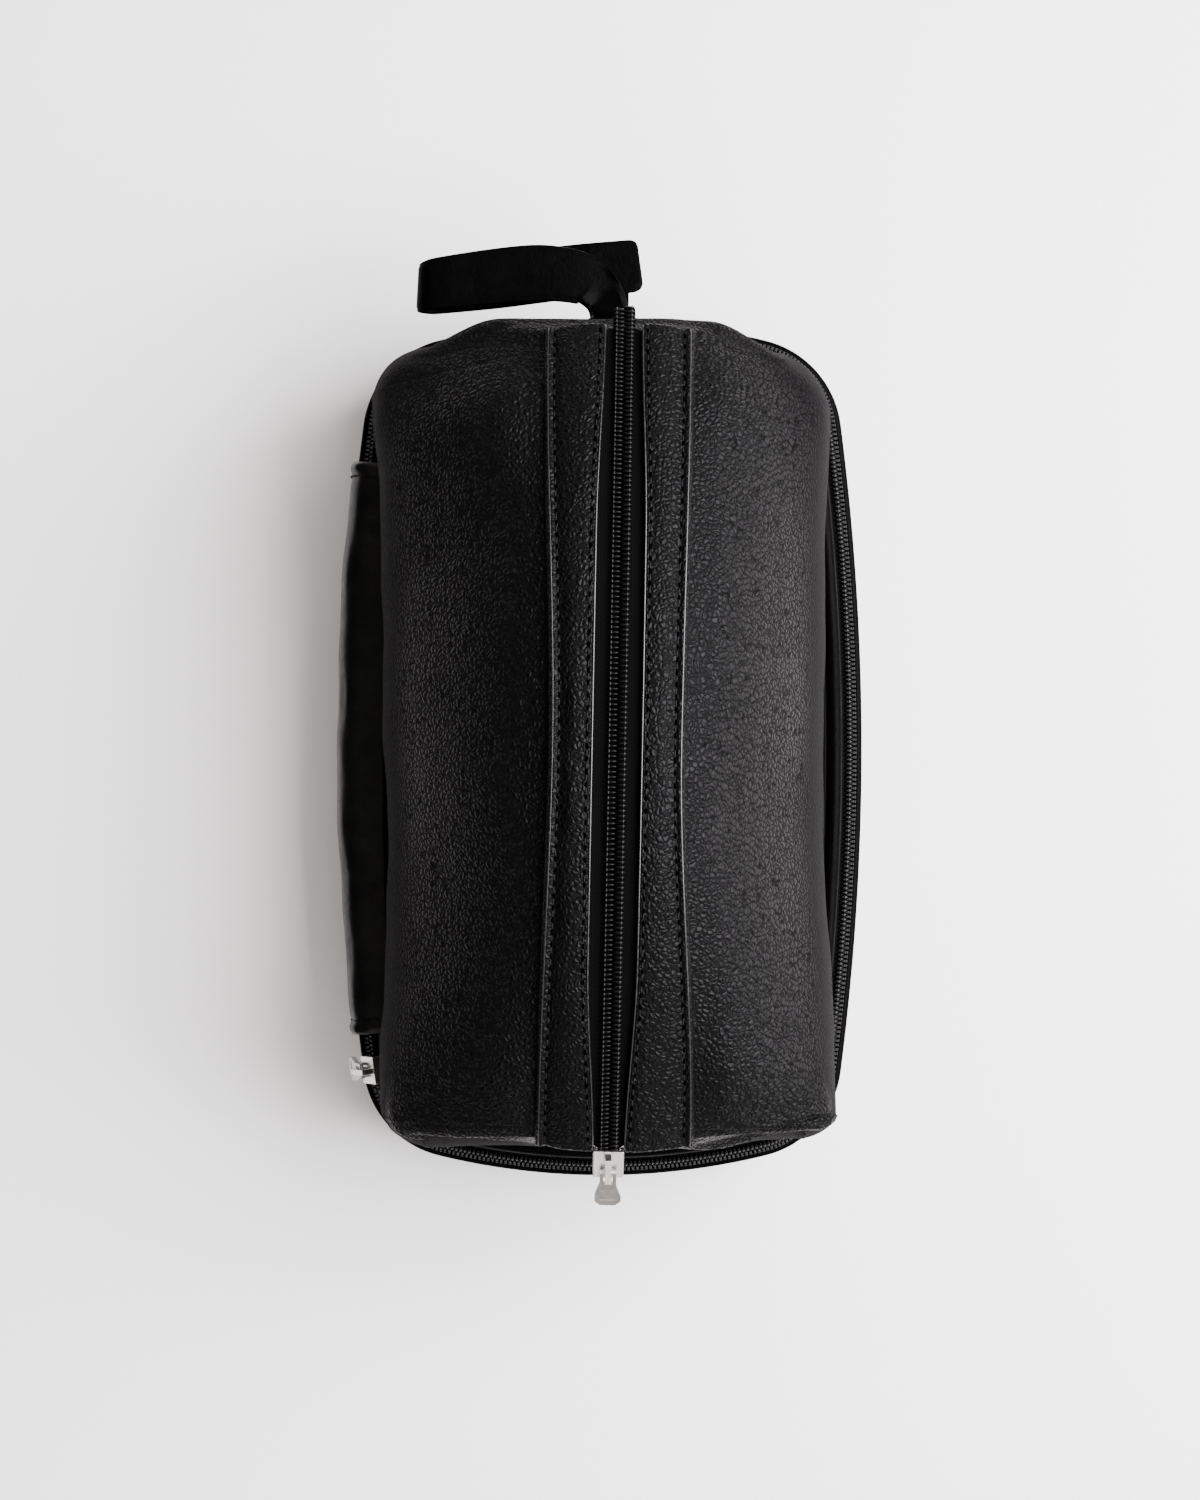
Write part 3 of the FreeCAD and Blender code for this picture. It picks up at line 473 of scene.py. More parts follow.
PEBBLED = pebbled_leather()
SMOOTH = smooth_leather("smooth_leather", 0.2)
STRAP = smooth_leather("strap_leather", 0.012)
TAPE = zip_tape()
COIL = zip_coil()
THREAD = twisted_thread("thread", (0.0012, 0.0012, 0.0014), 0.55, 0.12)
HOLE_SHADE = needle_hole_shade()
EDGE = edge_paint()
# The coil's sewing thread is a lighter grey than the black coil and the other thread: a painted highlight
# for the rows of bright dots along the chain.
COIL_THREAD_HIGHLIGHT = twisted_thread("coil_thread_highlight", (0.012, 0.012, 0.014), 0.5, 0.2)
NICKEL = nickel()
LINING = lining_cloth()
BOARD = stiff_board()


# ---------------------------------------------------------------- the upper shell

def smooth_through(points, count):
    """Evenly spaced points on a Catmull-Rom curve through the given ones."""
    points = np.asarray(points, float)
    padded_points = np.vstack([2 * points[0] - points[1], points, 2 * points[-1] - points[-2]])
    dense = []
    for i in range(len(points) - 1):
        a, b, c, d = padded_points[i:i + 4]
        for t in np.linspace(0, 1, 40, endpoint=False):
            dense.append(0.5 * (2 * b + (c - a) * t + (2 * a - 5 * b + 4 * c - d) * t ** 2
                                + (3 * b - a - 3 * c + d) * t ** 3))
    dense.append(points[-1])
    dense = np.array(dense)
    steps = np.linalg.norm(np.diff(dense[:, :3], axis=0), axis=1)
    runs = np.concatenate([[0], np.cumsum(steps)])
    wanted = np.linspace(0, runs[-1], count)
    return np.stack([np.interp(wanted, runs, dense[:, k]) for k in range(dense.shape[1])], axis=1)


# Widest line of each half of the shell: (half width, end, corner radius) at the front and back.
FRONT_CORNER = {-1: (68.2, -124.2, 17.0), 1: (72.2, -121.8, 13.0)}
BACK_CORNER = {-1: (70.8, 122.6, 18.0), 1: (70.6, 121.2, 20.0)}
WAIST = {-1: 66.6, 1: 67.9}
FRONT_MIDDLE, BACK_MIDDLE = -122.5, 125.0


def full_plan(side, count):
    """Widest line of one half of the shell, from the front's middle to the back's middle."""
    points = []
    for (width, end, rounding), order in ((FRONT_CORNER[side], 1), (BACK_CORNER[side], -1)):
        way = math.copysign(1.0, end)
        centre = np.array([width - rounding, end - way * rounding])
        corner = [centre + rounding * np.array([math.sin(turn), way * math.cos(turn)])
                  for turn in np.radians(np.linspace(0, 90, 7))]
        middle = BACK_MIDDLE if way > 0 else FRONT_MIDDLE
        line = [np.array([0.0, middle]), np.array([centre[0] * 0.45, middle])] + corner
        line.append(np.array([(width * 2 + WAIST[side]) / 3 - 0.4, way * 70.0]))
        points += line if order > 0 else [np.array([WAIST[side], 0.0])] + line[::-1]
    line = smooth_through(points, count)
    line[:, 0] *= side
    return line


# How far a facing laps over the panel at its seam side and at its front and back ends.
SEAM_LAP, FRONT_LAP, BACK_LAP = 2.5, 1.2, 1.4

FOOT_LINE = np.array([outline_place(run)[0] - outline_place(run)[1] * UPPER_INSET
                      for run in np.arange(0, OUTLINE_LENGTH, 0.5)])


def foot_under(point):
    """The foot of the shell nearest to a point of its widest line."""
    return FOOT_LINE[np.argmin(np.linalg.norm(FOOT_LINE - point, axis=1))]


def slowing(share, power):
    """0 to 1, quick at first and level at the end."""
    return 1 - (1 - min(1.0, share)) ** power


def seam_point(side, plan):
    """Where a column of the shell meets the facing: under its seam side, or under its end."""
    x, y = abs(plan[0]), plan[1]
    y_share, x_share = slowing(abs(y) / 126.0, 1.6), slowing(x / 72.0, 2.4)
    seam_y = y_share * (FACING_BACK - BACK_LAP if y > 0 else FACING_FRONT + FRONT_LAP)
    width = facing_outer(seam_y, side) - SEAM_LAP
    return arch_place(seam_y, -3.0, side * width * x_share)


def mixed(first, second, share):
    return first + (second - first) * share


SHOULDER = 4                                          # which point of a column is its shoulder
INSET_UP = (0.0, 0.0, 0.0, 0.1, 0.7, 1.0, 1.0, 1.0)   # how far an inset lowers each point, not moves it in
ROLL_Z, WIDEST_Z, WALL_Z = 51.5, 62.0, 84.0           # heights of a column's points below its shoulder
SIDE_BULGE, END_BULGE = 7.0, 2.6                      # fullness of the top between shoulder and seam
LIP, HOLLOW = 1.7, 1.4                                # height of the front folds and depth beside them
# The shoulder's distance in from the widest line and its height, away from the front.
SIDE_SHOULDER, BACK_SHOULDER = np.array([7.8, 107.5]), np.array([-0.4, 109.0])
BACK_CORNER_SHOULDER = np.array([8.0, 103.0])
FRONT_SHOULDER_Z = 107.0
# How far the front folds lie in from the widest line, at distances from the middle of the bag.
FRONT_FOLD_IN = {-1: ((20, 6.5), (30, 9.5), (43, 13.0), (51, 12.8), (58, 10.5), (66, 7.0)),
                 1: ((24, 5.0), (36, 5.8), (47, 9.0), (58, 12.0), (66, 9.5), (72, 6.0))}


def end_share(y):
    """0 along the sides of the bag, 1 on its end walls."""
    return float(ease(abs(y), 84, 119))


def shoulder_place(side, plan):
    """How far in from the widest line the shoulder lies, and its height."""
    x, y = abs(plan[0]), plan[1]
    if y < 0:
        side_in, side_z = SIDE_SHOULDER
        fold_in = np.interp(x, *zip(*FRONT_FOLD_IN[side]))
        fold_in = mixed(side_in, fold_in, float(ease(-y, 88, 112)))
        return fold_in, mixed(side_z, FRONT_SHOULDER_Z, end_share(y))
    corner = float(ease(x, 31, 62) * ease(y, 84, 108))
    return mixed(mixed(SIDE_SHOULDER, BACK_SHOULDER, end_share(y)), BACK_CORNER_SHOULDER, corner)


def shell_column(side, plan, inward, inset):
    """Points up one column of the shell: foot, widest, wall, shoulder, top and seam."""
    end = end_share(plan[1])
    foot, seam = foot_under(plan), seam_point(side, plan)
    shoulder_in, shoulder_z = shoulder_place(side, plan)
    wall_in = mixed(1.2, max(0.6, shoulder_in * 0.3), end)
    bulge = mixed(SIDE_BULGE, END_BULGE, end)
    shoulder = np.array([*(plan + inward * shoulder_in), shoulder_z])
    points = [np.array([*foot, FLOOR_TOP]), np.array([*mixed(foot, plan, 0.75), ROLL_Z]),
              np.array([*plan, WIDEST_Z]), np.array([*(plan + inward * wall_in), WALL_Z]), shoulder]
    for share in (0.34, 0.68):
        place = mixed(shoulder, seam, share)
        place[2] += bulge * 4 * share * (1 - share)
        points.append(place)
    points.append(seam)
    for point, up in zip(points, INSET_UP):
        point[:2] += inward * inset * (1 - up)
        point[2] -= inset * up
    return points


def fold_lift(column, shoulder, plan):
    """Lip at the shoulder with a hollow on either side: the two front folds, fading at the corners."""
    x, y = abs(plan[0]), plan[1]
    strength = float(ease(x, 20, 34) * ease(-y, 90, 112) * (1 - 0.8 * ease(x, 56, 67)))
    steps = np.linalg.norm(np.diff(column, axis=0), axis=1)
    run = np.concatenate([[0], np.cumsum(steps)])
    run -= run[np.argmin(np.linalg.norm(column - shoulder, axis=1))]
    hollows = np.exp(-((run - 6.0) / 3.5) ** 2) + np.exp(-((run + 6.5) / 3.5) ** 2)
    return strength * (LIP * np.exp(-(run / 2.2) ** 2) - HOLLOW * hollows)


WAVES = ((110.0, 0.9), (52.0, 0.35), (23.0, 0.12))    # lengths and heights of the leather's soft waves


def wave_lift(points, phases):
    """Soft uneven waves of the stuffed leather, fading out at its foot and at the seam."""
    lift = np.zeros(len(points))
    for (length, height), phase in zip(WAVES, phases):
        bend = phase[0] + 1.3 * np.sin(points[:, 2] / length + phase[1])
        lift += height * (np.sin(points[:, 1] * 2 * np.pi / length + bend)
                          * np.cos(points[:, 0] * 2 * np.pi / (length * 1.6) + phase[2]))
    off_seam = np.maximum(ease(np.abs(points[:, 0] - ZIP_SIDE), 20, 34), 1 - ease(points[:, 2], 95, 110))
    return lift * ease(points[:, 2], 50, 60) * off_seam


def column_outward(column, inward):
    """Directions out of the shell along one column."""
    tangent = np.gradient(column, axis=0)
    tangent /= np.linalg.norm(tangent, axis=1)[:, None]
    level = np.array([*inward, 0.0])
    return UP * (tangent @ level)[:, None] - level * tangent[:, 2:3]


def shell_sheet(side, columns, rows, thickness, inset=0.0, phases=()):
    """Points and faces of one half of the shell, with its thickness, column by column."""
    plan = full_plan(side, columns)
    along = np.gradient(plan, axis=0)
    inward = np.stack([-along[:, 1], along[:, 0]], axis=1) * side
    inward /= np.linalg.norm(inward, axis=1)[:, None]
    rings = []
    for place, inner in zip(plan, inward):
        points = shell_column(side, place, inner, inset)
        column = smooth_through(points, rows)
        if len(phases):
            lift = fold_lift(column, points[SHOULDER], place) + wave_lift(column, phases)
            column = column + column_outward(column, inner) * lift[:, None]
        inside = column - column_outward(column, inner) * thickness
        rings.append(np.concatenate([column, inside[::-1]]))
    return swept(rings)


LEATHER_THICK, CLOTH_THICK, CLOTH_INSET = 1.7, 0.6, 4.2


def shell_half(side):
    """Leather panel of one side with its half of both end walls, and the cloth behind it."""
    word = "right" if side > 0 else "left"
    phases = rng.uniform(0, 2 * np.pi, (len(WAVES), 3))
    verts, faces = shell_sheet(side, 320, 96, LEATHER_THICK, phases=phases)
    piece = new_piece("shell_" + word, verts, faces, PEBBLED)
    verts, faces = shell_sheet(side, 120, 36, CLOTH_THICK, inset=CLOTH_INSET)
    cloth = new_piece("cloth_" + word, verts, faces, LINING)
    for item, node, slot in ((piece, word + "_panel", "pebbled_leather"), (cloth, "upper_lining", "lining")):
        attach(item, "upper_bag")
        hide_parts(node)


# ---------------------------------------------------------------- facings, top tape and coil

FACING_SLOPE = 0.2
ZIP_ROW_IN, SEAM_ROW_IN = 1.4, 2.9    # the two sewn rows of a facing, in from its edges
FACING_STEP = 1.6


def facing_level(x, inner):
    """Top of a facing: it slopes down from the zip towards the seam."""
    return 1.0 - FACING_SLOPE * max(0.0, x - inner - 2.0)


def facing_profile(y, side):
    """Section of a facing: rounded zip edge, sewn valley, flat middle, and a ridge at the seam."""
    inner, outer = facing_inner(y), facing_outer(y, side)
    zip_row, seam_row = inner + ZIP_ROW_IN, outer - SEAM_ROW_IN
    rises = [(inner + 0.8, 0.05), (zip_row, -0.22), (inner + 2.1, 0.0), (inner + 4.5, 0.35),
             ((inner + outer) / 2, 0.55), (outer - 5.5, 0.3), (outer - 3.6, 0.05), (seam_row, -0.3),
             (outer - 2.2, 0.25), (outer - 1.3, 0.75), (outer - 0.4, 0.35)]
    shape = [(inner, -0.6), (inner - 0.15, 0.1), (inner + 0.2, 0.75)]
    shape += [(x, facing_level(x, inner) + rise) for x, rise in rises]
    low = facing_level(outer, inner)
    shape += [(outer, low - 0.6), (outer - 0.2, low - 1.9), (outer - 1.5, low - 2.2), (inner + 2.0, -1.1)]
    return shape if side > 0 else [(-x, level) for x, level in shape][::-1]


ROLLED_END = ((0.5, 0.25), (0.95, 0.9), (1.1, 1.9), (0.9, 3.2))    # further on, and down


def facing_ring(side, y, beyond=0.0, down=0.0):
    """Section of a facing at one place, or of its end turned down past that place."""
    wobble = 0.12 * math.sin(y * 0.21 + side) + 0.08 * math.sin(y * 0.53)
    moved = y + math.copysign(beyond, y)
    return [arch_place(moved, level + (wobble if level > 0.5 else 0) - down, x)
            for x, level in facing_profile(y, side)]


def span(end_y):
    """Low and high end of one half of the mouth."""
    return min(0.0, end_y), max(0.0, end_y)


def facing_stations(end_y):
    """Places along a facing, from the middle of the mouth out to one end."""
    return sorted(arch_stations(*span(end_y), FACING_STEP), key=abs)


def facing_strip(side, end_y):
    """Half of a facing, from the middle of the mouth to its turned-down end."""
    rings = [facing_ring(side, y) for y in facing_stations(end_y)]
    rings += [facing_ring(side, end_y, beyond, down) for beyond, down in ROLLED_END]
    return swept(rings, first_cap=False)


def stitch_row(places, shape=STITCH):
    """Small rounded stitches at (centre, along, outward) places."""
    parts = []
    for centre, along, outward in places:
        across = np.cross(outward, along)
        parts.append(placed(shape, centre, unit(along), unit(across), unit(outward)))
    return merge(parts)


def facing_seams(side, end_y, shift, shape):
    """Two rows along a facing, one near each edge; shift moves them along in pitches."""
    y_low, y_high = span(end_y)
    places = []
    for y in arch_stations(FACING_FRONT + 1.5, FACING_BACK - 3.5, STITCH_PITCH):
        y += shift * STITCH_PITCH
        if not y_low <= y < y_high:
            continue
        _, along, outward = arch_axes(y)
        inner, outer = facing_inner(y), facing_outer(y, side)
        for x, sink in ((inner + ZIP_ROW_IN, 0.1), (outer - SEAM_ROW_IN, 0.2)):
            places.append((arch_place(y, facing_level(x, inner) - sink, side * x), along, outward))
    return stitch_row(places, shape)


def facing_beads(side, end_y):
    """Polished cut edges: a fine bead along the zip side and one beside the seam."""
    beads = []
    turns = np.linspace(0, 2 * np.pi, 8, endpoint=False)
    for radius, at_seam in ((0.34, False), (0.3, True)):
        rings = []
        for y in facing_stations(end_y):
            x, level = facing_inner(y) + 0.05, 0.72
            if at_seam:
                outer = facing_outer(y, side)
                x, level = outer - 1.2, facing_level(outer, facing_inner(y)) + 0.75
            rings.append([arch_place(y, level + radius * math.sin(turn),
                                     side * (x + radius * math.cos(turn))) for turn in turns])
        beads.append(swept(rings, first_cap=False))
    return merge(beads)


def tape_edge(y):
    """Outer edge of the top tape: under the facing, and trimmed close to the coil past its ends."""
    past_back = float(ease(y, FACING_BACK - 1.5, FACING_BACK))
    past_front = float(ease(-y, -FACING_FRONT - 1.5, -FACING_FRONT))
    return mixed(facing_inner(y) + 3.0, 3.2, past_back + past_front)


# The two zips have the same section: tape beside the centre line, teeth and their sewing on top of it.
TAPE_GAP, TAPE_TOP, TAPE_BOTTOM = 0.35, -1.0, -1.6
TOOTH_OFF, COIL_SEWING_OFF = 1.42, 2.15


def top_tape(side, end_y):
    """Half of one side's tape."""
    rings = []
    for y in arch_stations(*span(end_y), 1.0):
        edge = tape_edge(y)
        shape = [(TAPE_GAP, TAPE_TOP), (edge, TAPE_TOP), (edge, TAPE_BOTTOM), (TAPE_GAP, TAPE_BOTTOM)]
        rings.append([arch_place(y, level, side * x) for x, level in shape])
    return swept(rings)


def top_coil(side, end_y):
    """Half of one row of the coil: a rounded tooth each pitch, half a pitch apart on the two sides."""
    y_low, y_high = span(end_y)
    parts, threads = [], []
    for y in arch_stations(ZIP_FRONT + 1, ZIP_BACK - 1, TOOTH_PITCH):
        y += side * TOOTH_PITCH / 4
        if not y_low <= y < y_high:
            continue
        across, along, outward = arch_axes(y)
        centre = arch_place(y, 0.15, side * TOOTH_OFF)
        parts.append(placed(TOP_TOOTH, centre, across * side, along, outward))
        centre = arch_place(y, 1.02, side * COIL_SEWING_OFF)
        threads.append(placed(COIL_STITCH, centre, along, -across, outward))
    return merge(parts), merge(threads)


def mouth_facing(side, word, end, end_y):
    """Leather facing with its stitches, the painted shade of its needle holes, and polished edges."""
    stitches = facing_seams(side, end_y, 0.0, STITCH)
    # Dark marks half a pitch from the stitches: painted shade for the needle holes.
    holes = facing_seams(side, end_y, 0.5, PRICKED_HOLE)
    verts, faces, slots = layered(facing_strip(side, end_y), stitches, holes, facing_beads(side, end_y))
    looks = [PEBBLED, THREAD, HOLE_SHADE, EDGE]
    facing = new_piece("facing_%s_%s" % (word, end), verts, faces, looks, slots=slots)
    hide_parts("facing_" + word, end + "_facing_ends")
    return facing


def mouth_coil(side, word, end, end_y):
    verts, faces, slots = layered(*top_coil(side, end_y))
    coil = new_piece("coil_%s_%s" % (word, end), verts, faces, [COIL, COIL_THREAD_HIGHLIGHT], slots=slots)
    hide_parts("top_coil_" + word, end + "_zip_end")
    return coil


def mouth_tape(side, word, end, end_y):
    verts, faces = top_tape(side, end_y)
    tape = new_piece("tape_%s_%s" % (word, end), verts, faces, TAPE, smooth=False)
    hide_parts("top_tape_" + word)
    return tape


def make_mouth_side(side):
    """Both halves of one side of the mouth, from the sewn ends of the zip to its middle."""
    word = "right" if side > 0 else "left"
    for end, way, facing_end, zip_end in (("front", -1, FACING_FRONT, ZIP_FRONT),
                                          ("back", 1, FACING_BACK, ZIP_BACK)):
        pieces = (mouth_facing(side, word, end, facing_end), mouth_coil(side, word, end, zip_end),
                  mouth_tape(side, word, end, zip_end))
        for piece in pieces:
            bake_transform(piece)


# ---------------------------------------------------------------- the tray

# Section of the tray's wall as (offset from the outline, height): its outside, then its top and inside.
BAND_OUTSIDE = [(-9.0, 1.6), (-9.0, 0.35), (-5.2, 0.35), (-3.6, 0.9), (-2.0, 2.2), (-0.9, 4.2), (-0.25, 7.0),
                (0.15, 12.0), (0.45, 18.0), (0.3, 25.0), (-0.05, 30.0), (-0.25, 31.3)]
BAND_INSIDE = [(0.0, 32.4), (-0.1, 33.6), (-0.9, 34.2), (-1.8, 33.6), (-1.85, 20.0), (-1.9, 5.0)]
BAND_MIDDLE, BAND_SEAM = 17.0, 31.3


def band_wall():
    """The tray's wall, a little fuller in some places than in others."""
    rings = whole_outline(BAND_OUTSIDE + BAND_INSIDE)
    for index, ring in enumerate(rings):
        run = index / len(rings) * OUTLINE_LENGTH
        full = 0.35 * math.sin(run * 0.055) + 0.25 * math.sin(run * 0.131 + 1.0)
        _, out = outline_place(run)
        for point in ring[:len(BAND_OUTSIDE)]:
            share = math.exp(-((point[2] - BAND_MIDDLE) / 8) ** 2)
            point[0] += out[0] * full * share
            point[1] += out[1] * full * share
    return swept(rings, closed_path=True)


def band_stitches():
    """The row sewn just under the top of the wall."""
    places = []
    for run in np.arange(0, OUTLINE_LENGTH, STITCH_PITCH):
        place, out = outline_place(run)
        along = np.array([-out[1], out[0], 0])
        places.append(((*(place + out * -0.15), BAND_SEAM), along, np.array([*out, 0])))
    return stitch_row(places)


def leather_band():
    """The tray's wall: rounded at the floor, slightly full, with a sewn top edge."""
    verts, faces, slots = layered(band_wall(), band_stitches())
    piece = new_piece("tray_wall", verts, faces, [PEBBLED, THREAD], slots=slots)
    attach(piece, "tray")
    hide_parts("tray_band")


def underside():
    """Leather bottom panel, its edge turned up inside the wall."""
    thick = 1.7
    rings = []
    for offset, z in ((-6.0, thick), (-6.0, 0.4), (-6.8, 0.0), (-30.0, 0.0)):
        ring = []
        for run in np.linspace(0, OUTLINE_LENGTH, 240, endpoint=False):
            place, out = outline_place(run)
            ring.append([*(place + out * offset), z])
        rings.append(ring)
    middle = [[point[0] * 0.05, point[1] * 0.05, 0.0] for point in rings[-1]]
    top = [[x, y, thick] for x, y, _ in middle]
    verts, faces = swept([top] + rings + [middle])
    piece = new_piece("underside", verts, faces, SMOOTH)
    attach(piece, "tray")
    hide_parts("base_panel")


def piping(name, body, node, rings, closed=False):
    """Thin rounded edging of leather."""
    verts, faces = swept(rings, closed_path=closed)
    piece = new_piece(name, verts, faces, STRAP)
    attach(piece, body)
    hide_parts(node)


def tray_zip_row(side, start, stop):
    """Teeth of one row of the tray zip; side is +1 for the upper row."""
    parts, threads = [], []
    for run in np.arange(start, stop, TOOTH_PITCH):
        place, out = outline_place(run + side * TOOTH_PITCH / 4)
        along = np.array([-out[1], out[0], 0.0])
        up = np.array([*(-out * math.cos(ZIP_LEAN)), math.sin(ZIP_LEAN)])
        outward = np.array([*(out * math.sin(ZIP_LEAN)), math.cos(ZIP_LEAN)])
        offset, z = zip_point(side * TOOTH_OFF, 0.1)
        parts.append(placed(TRAY_TOOTH, (*(place + out * offset), z), up * side, along, outward))
        offset, z = zip_point(side * COIL_SEWING_OFF, 1.0)
        threads.append(placed(COIL_STITCH, (*(place + out * offset), z), along, -up, outward))
    return merge(parts), merge(threads)


def tray_zip_piece(name, body, nodes, side, start, stop):
    """One row of teeth with its sewing, over a stretch of the outline."""
    verts, faces, slots = layered(*tray_zip_row(side, start, stop))
    piece = new_piece(name, verts, faces, [COIL, COIL_THREAD_HIGHLIGHT], slots=slots)
    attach(piece, body)
    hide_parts(*nodes)


def tape_piece(name, body, nodes, profile, start, stop):
    """One side of the tray zip's tape, over a stretch of the outline."""
    verts, faces = swept(outline_rings(profile, start, stop, 2.0))
    piece = new_piece(name, verts, faces, TAPE, smooth=False)
    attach(piece, body)
    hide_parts(*nodes)


# Sections as (offset from the outline, height).
LOWER_TAPE = [zip_point(-TAPE_GAP, TAPE_TOP), zip_point(-TAPE_GAP, TAPE_BOTTOM), (-3.1, 38.6), (-3.1, 30.0),
              (-2.5, 30.0), (-2.5, 38.9)]
UPPER_TAPE = [zip_point(TAPE_GAP, TAPE_TOP), zip_point(4.4, TAPE_TOP), (-14.1, 45.4), (-14.1, 44.8),
              zip_point(4.3, TAPE_BOTTOM), zip_point(TAPE_GAP, TAPE_BOTTOM)]
TRAY_EDGING = round_profile(-0.9, 35.7, 1.6)
UPPER_EDGING = [(-11.4, 47.6), (-10.6, 46.3), (-9.2, 45.9), (-7.8, 46.3), (-6.9, 47.5), (-7.0, 48.8),
                (-7.9, 49.9), (-9.4, 50.3), (-10.8, 49.9), (-11.5, 48.9)]


def make_tray_zip():
    """The zip from its front left end round to the hinge, that end itself, and the edging beside it."""
    start, stop = ZIP_END_LENGTH + 0.2, OUTLINE_LENGTH - SPINE_LENGTH
    tape_piece("lower_tape", "tray", ["tray_zip_tape"], LOWER_TAPE, start, stop)
    tape_piece("upper_tape", "upper_bag", ["upper_zip_tape"], UPPER_TAPE, start, stop)
    tray_zip_piece("lower_coil", "tray", ["tray_zip_coil"], -1, start, stop)
    tray_zip_piece("upper_coil", "upper_bag", ["upper_zip_coil"], 1, start, stop)
    tape_piece("end_tape_lower", "tray", ["zip_end_front_left"], LOWER_TAPE, SPINE_LENGTH, start - 0.3)
    tape_piece("end_tape_upper", "tray", ["zip_end_front_left"], UPPER_TAPE, SPINE_LENGTH, start - 0.3)
    tray_zip_piece("end_coil_lower", "tray", ["zip_end_front_left"], -1, SPINE_LENGTH, start - 0.6)
    tray_zip_piece("end_coil_upper", "tray", ["zip_end_front_left"], 1, SPINE_LENGTH, start - 0.6)
    piping("tray_piping", "tray", "tray_welt", outline_rings(TRAY_EDGING, SPINE_LENGTH, stop, 2.0))
    piping("upper_piping", "upper_bag", "upper_welt", whole_outline(UPPER_EDGING), closed=True)


# ---------------------------------------------------------------- the leather hinge

# Section of the hinge leather as (offset from the outline, height): over its outside and back inside.
HINGE_OUTSIDE = [(1.6, 20.0), (1.7, 30.0), (1.6, 40.0), (1.2, 46.5), (-0.9, 50.6), (-4.5, 52.3),
                 (-11.6, 52.6)]
HINGE_INSIDE = [(-11.5, 51.2), (-5.0, 50.8), (-2.3, 49.4), (-0.4, 45.8), (0.1, 40.0), (0.2, 30.0),
                (0.2, 20.2)]
HINGE_SEAM = [(1.7, 22.0), (1.7, 40.0), (1.3, 46.5), (-0.8, 50.8), (-4.5, 52.5), (-10.5, 52.8)]
HINGE_SEAM_IN = 4.6                                   # how far that seam lies in from each end


def hinge_ring(run, outside, inside):
    """Section at one place: a bound lip near the ends, a slight sag, and a longer reach in the middle."""
    place, out = outline_place(run)
    from_end = SPINE_LENGTH - abs(run)
    lip = 0.9 * math.exp(-((from_end - 1.8) / 1.5) ** 2)
    lip -= 0.25 * math.exp(-((from_end - HINGE_SEAM_IN) / 0.8) ** 2)
    sag = 0.25 * math.sin(run * 0.09) + 0.15 * math.sin(run * 0.23 + 2)
    reach = 3.0 * (1 - (run / SPINE_LENGTH) ** 2)
    ring = []
    for offset, z in outside:
        rise = (lip + sag) * (0.4 if z > 51 else 1.0)
        offset -= reach * float(ease(-offset, 5, 11.6))
        ring.append([*(place + out * (offset + rise)), z + (rise if z > 49 else 0)])
    for offset, z in inside:
        offset -= reach * float(ease(-offset, 5, 11.5))
        ring.append([*(place + out * offset), z])
    return ring


def hinge_stitches():
    """A row up each end of the hinge and over its top."""
    places = []
    for end in (-1, 1):
        place, out = outline_place(end * (SPINE_LENGTH - HINGE_SEAM_IN))
        for offset, z in smooth_through(HINGE_SEAM, 13):
            tilt = float(ease(z, 45, 52))
            outward = unit([out[0] * (1 - tilt), out[1] * (1 - tilt), tilt + 0.01])
            along = unit(np.cross([-out[1], out[0], 0], outward))
            places.append(((*(place + out * offset), z), along, outward))
    return stitch_row(places)


def make_spine():
    """One piece of leather over both hinge leaves, with a bound and sewn lip at each end."""
    outside, inside = smooth_through(HINGE_OUTSIDE, 44), smooth_through(HINGE_INSIDE, 22)
    rings = [hinge_ring(run, outside, inside) for run in np.linspace(-SPINE_LENGTH, SPINE_LENGTH, 150)]
    verts, faces, slots = layered(swept(rings), hinge_stitches())
    piece = new_piece("hinge_leather", verts, faces, [SMOOTH, THREAD], slots=slots)
    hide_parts("tray_hinge_leaf", "upper_hinge_leaf")
    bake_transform(piece)


# ---------------------------------------------------------------- the handle

# Along the strap: its middle (x, y, z), the degrees its width is turned from +Y, and its width.
TAIL_STRAND = [(11.6, 147.0, 80.8, 3, 16.0), (-10, 144.9, 80.9, 4, 16.4), (-32, 142.0, 80.8, 4, 16.2),
               (-48.5, 139.9, 81.0, 3, 15.2)]
BEND = [(-52.6, 139.5, 82.0, 3, 15.0), (-54.9, 139.3, 85.0, 3, 14.8), (-53.0, 139.4, 88.0, 3, 15.0)]
TOP_STRAND = [(-48.0, 140.1, 89.2, 2, 15.6), (-31, 142.0, 89.6, 0, 16.8), (-18.8, 142.9, 89.8, 0, 16.9),
              (-9.9, 142.1, 89.6, 7, 16.2)]
NECK = [(-4.2, 140.4, 89.3, 26, 15.0), (-1.2, 137.9, 88.9, 43, 13.2),
        (0.7, 135.5, 88.6, 58, 12.4), (1.7, 133.0, 88.6, 70, 12.0), (2.3, 130.4, 89.6, 80, 12.4),
        (2.5, 128.2, 92.4, 86, 13.6), (2.6, 126.6, 97.0, 90, 16.0), (2.6, 124.6, 103.0, 90, 19.0)]
STRAP_THICK = 2.3
TAIL_ROUNDING = 3.2


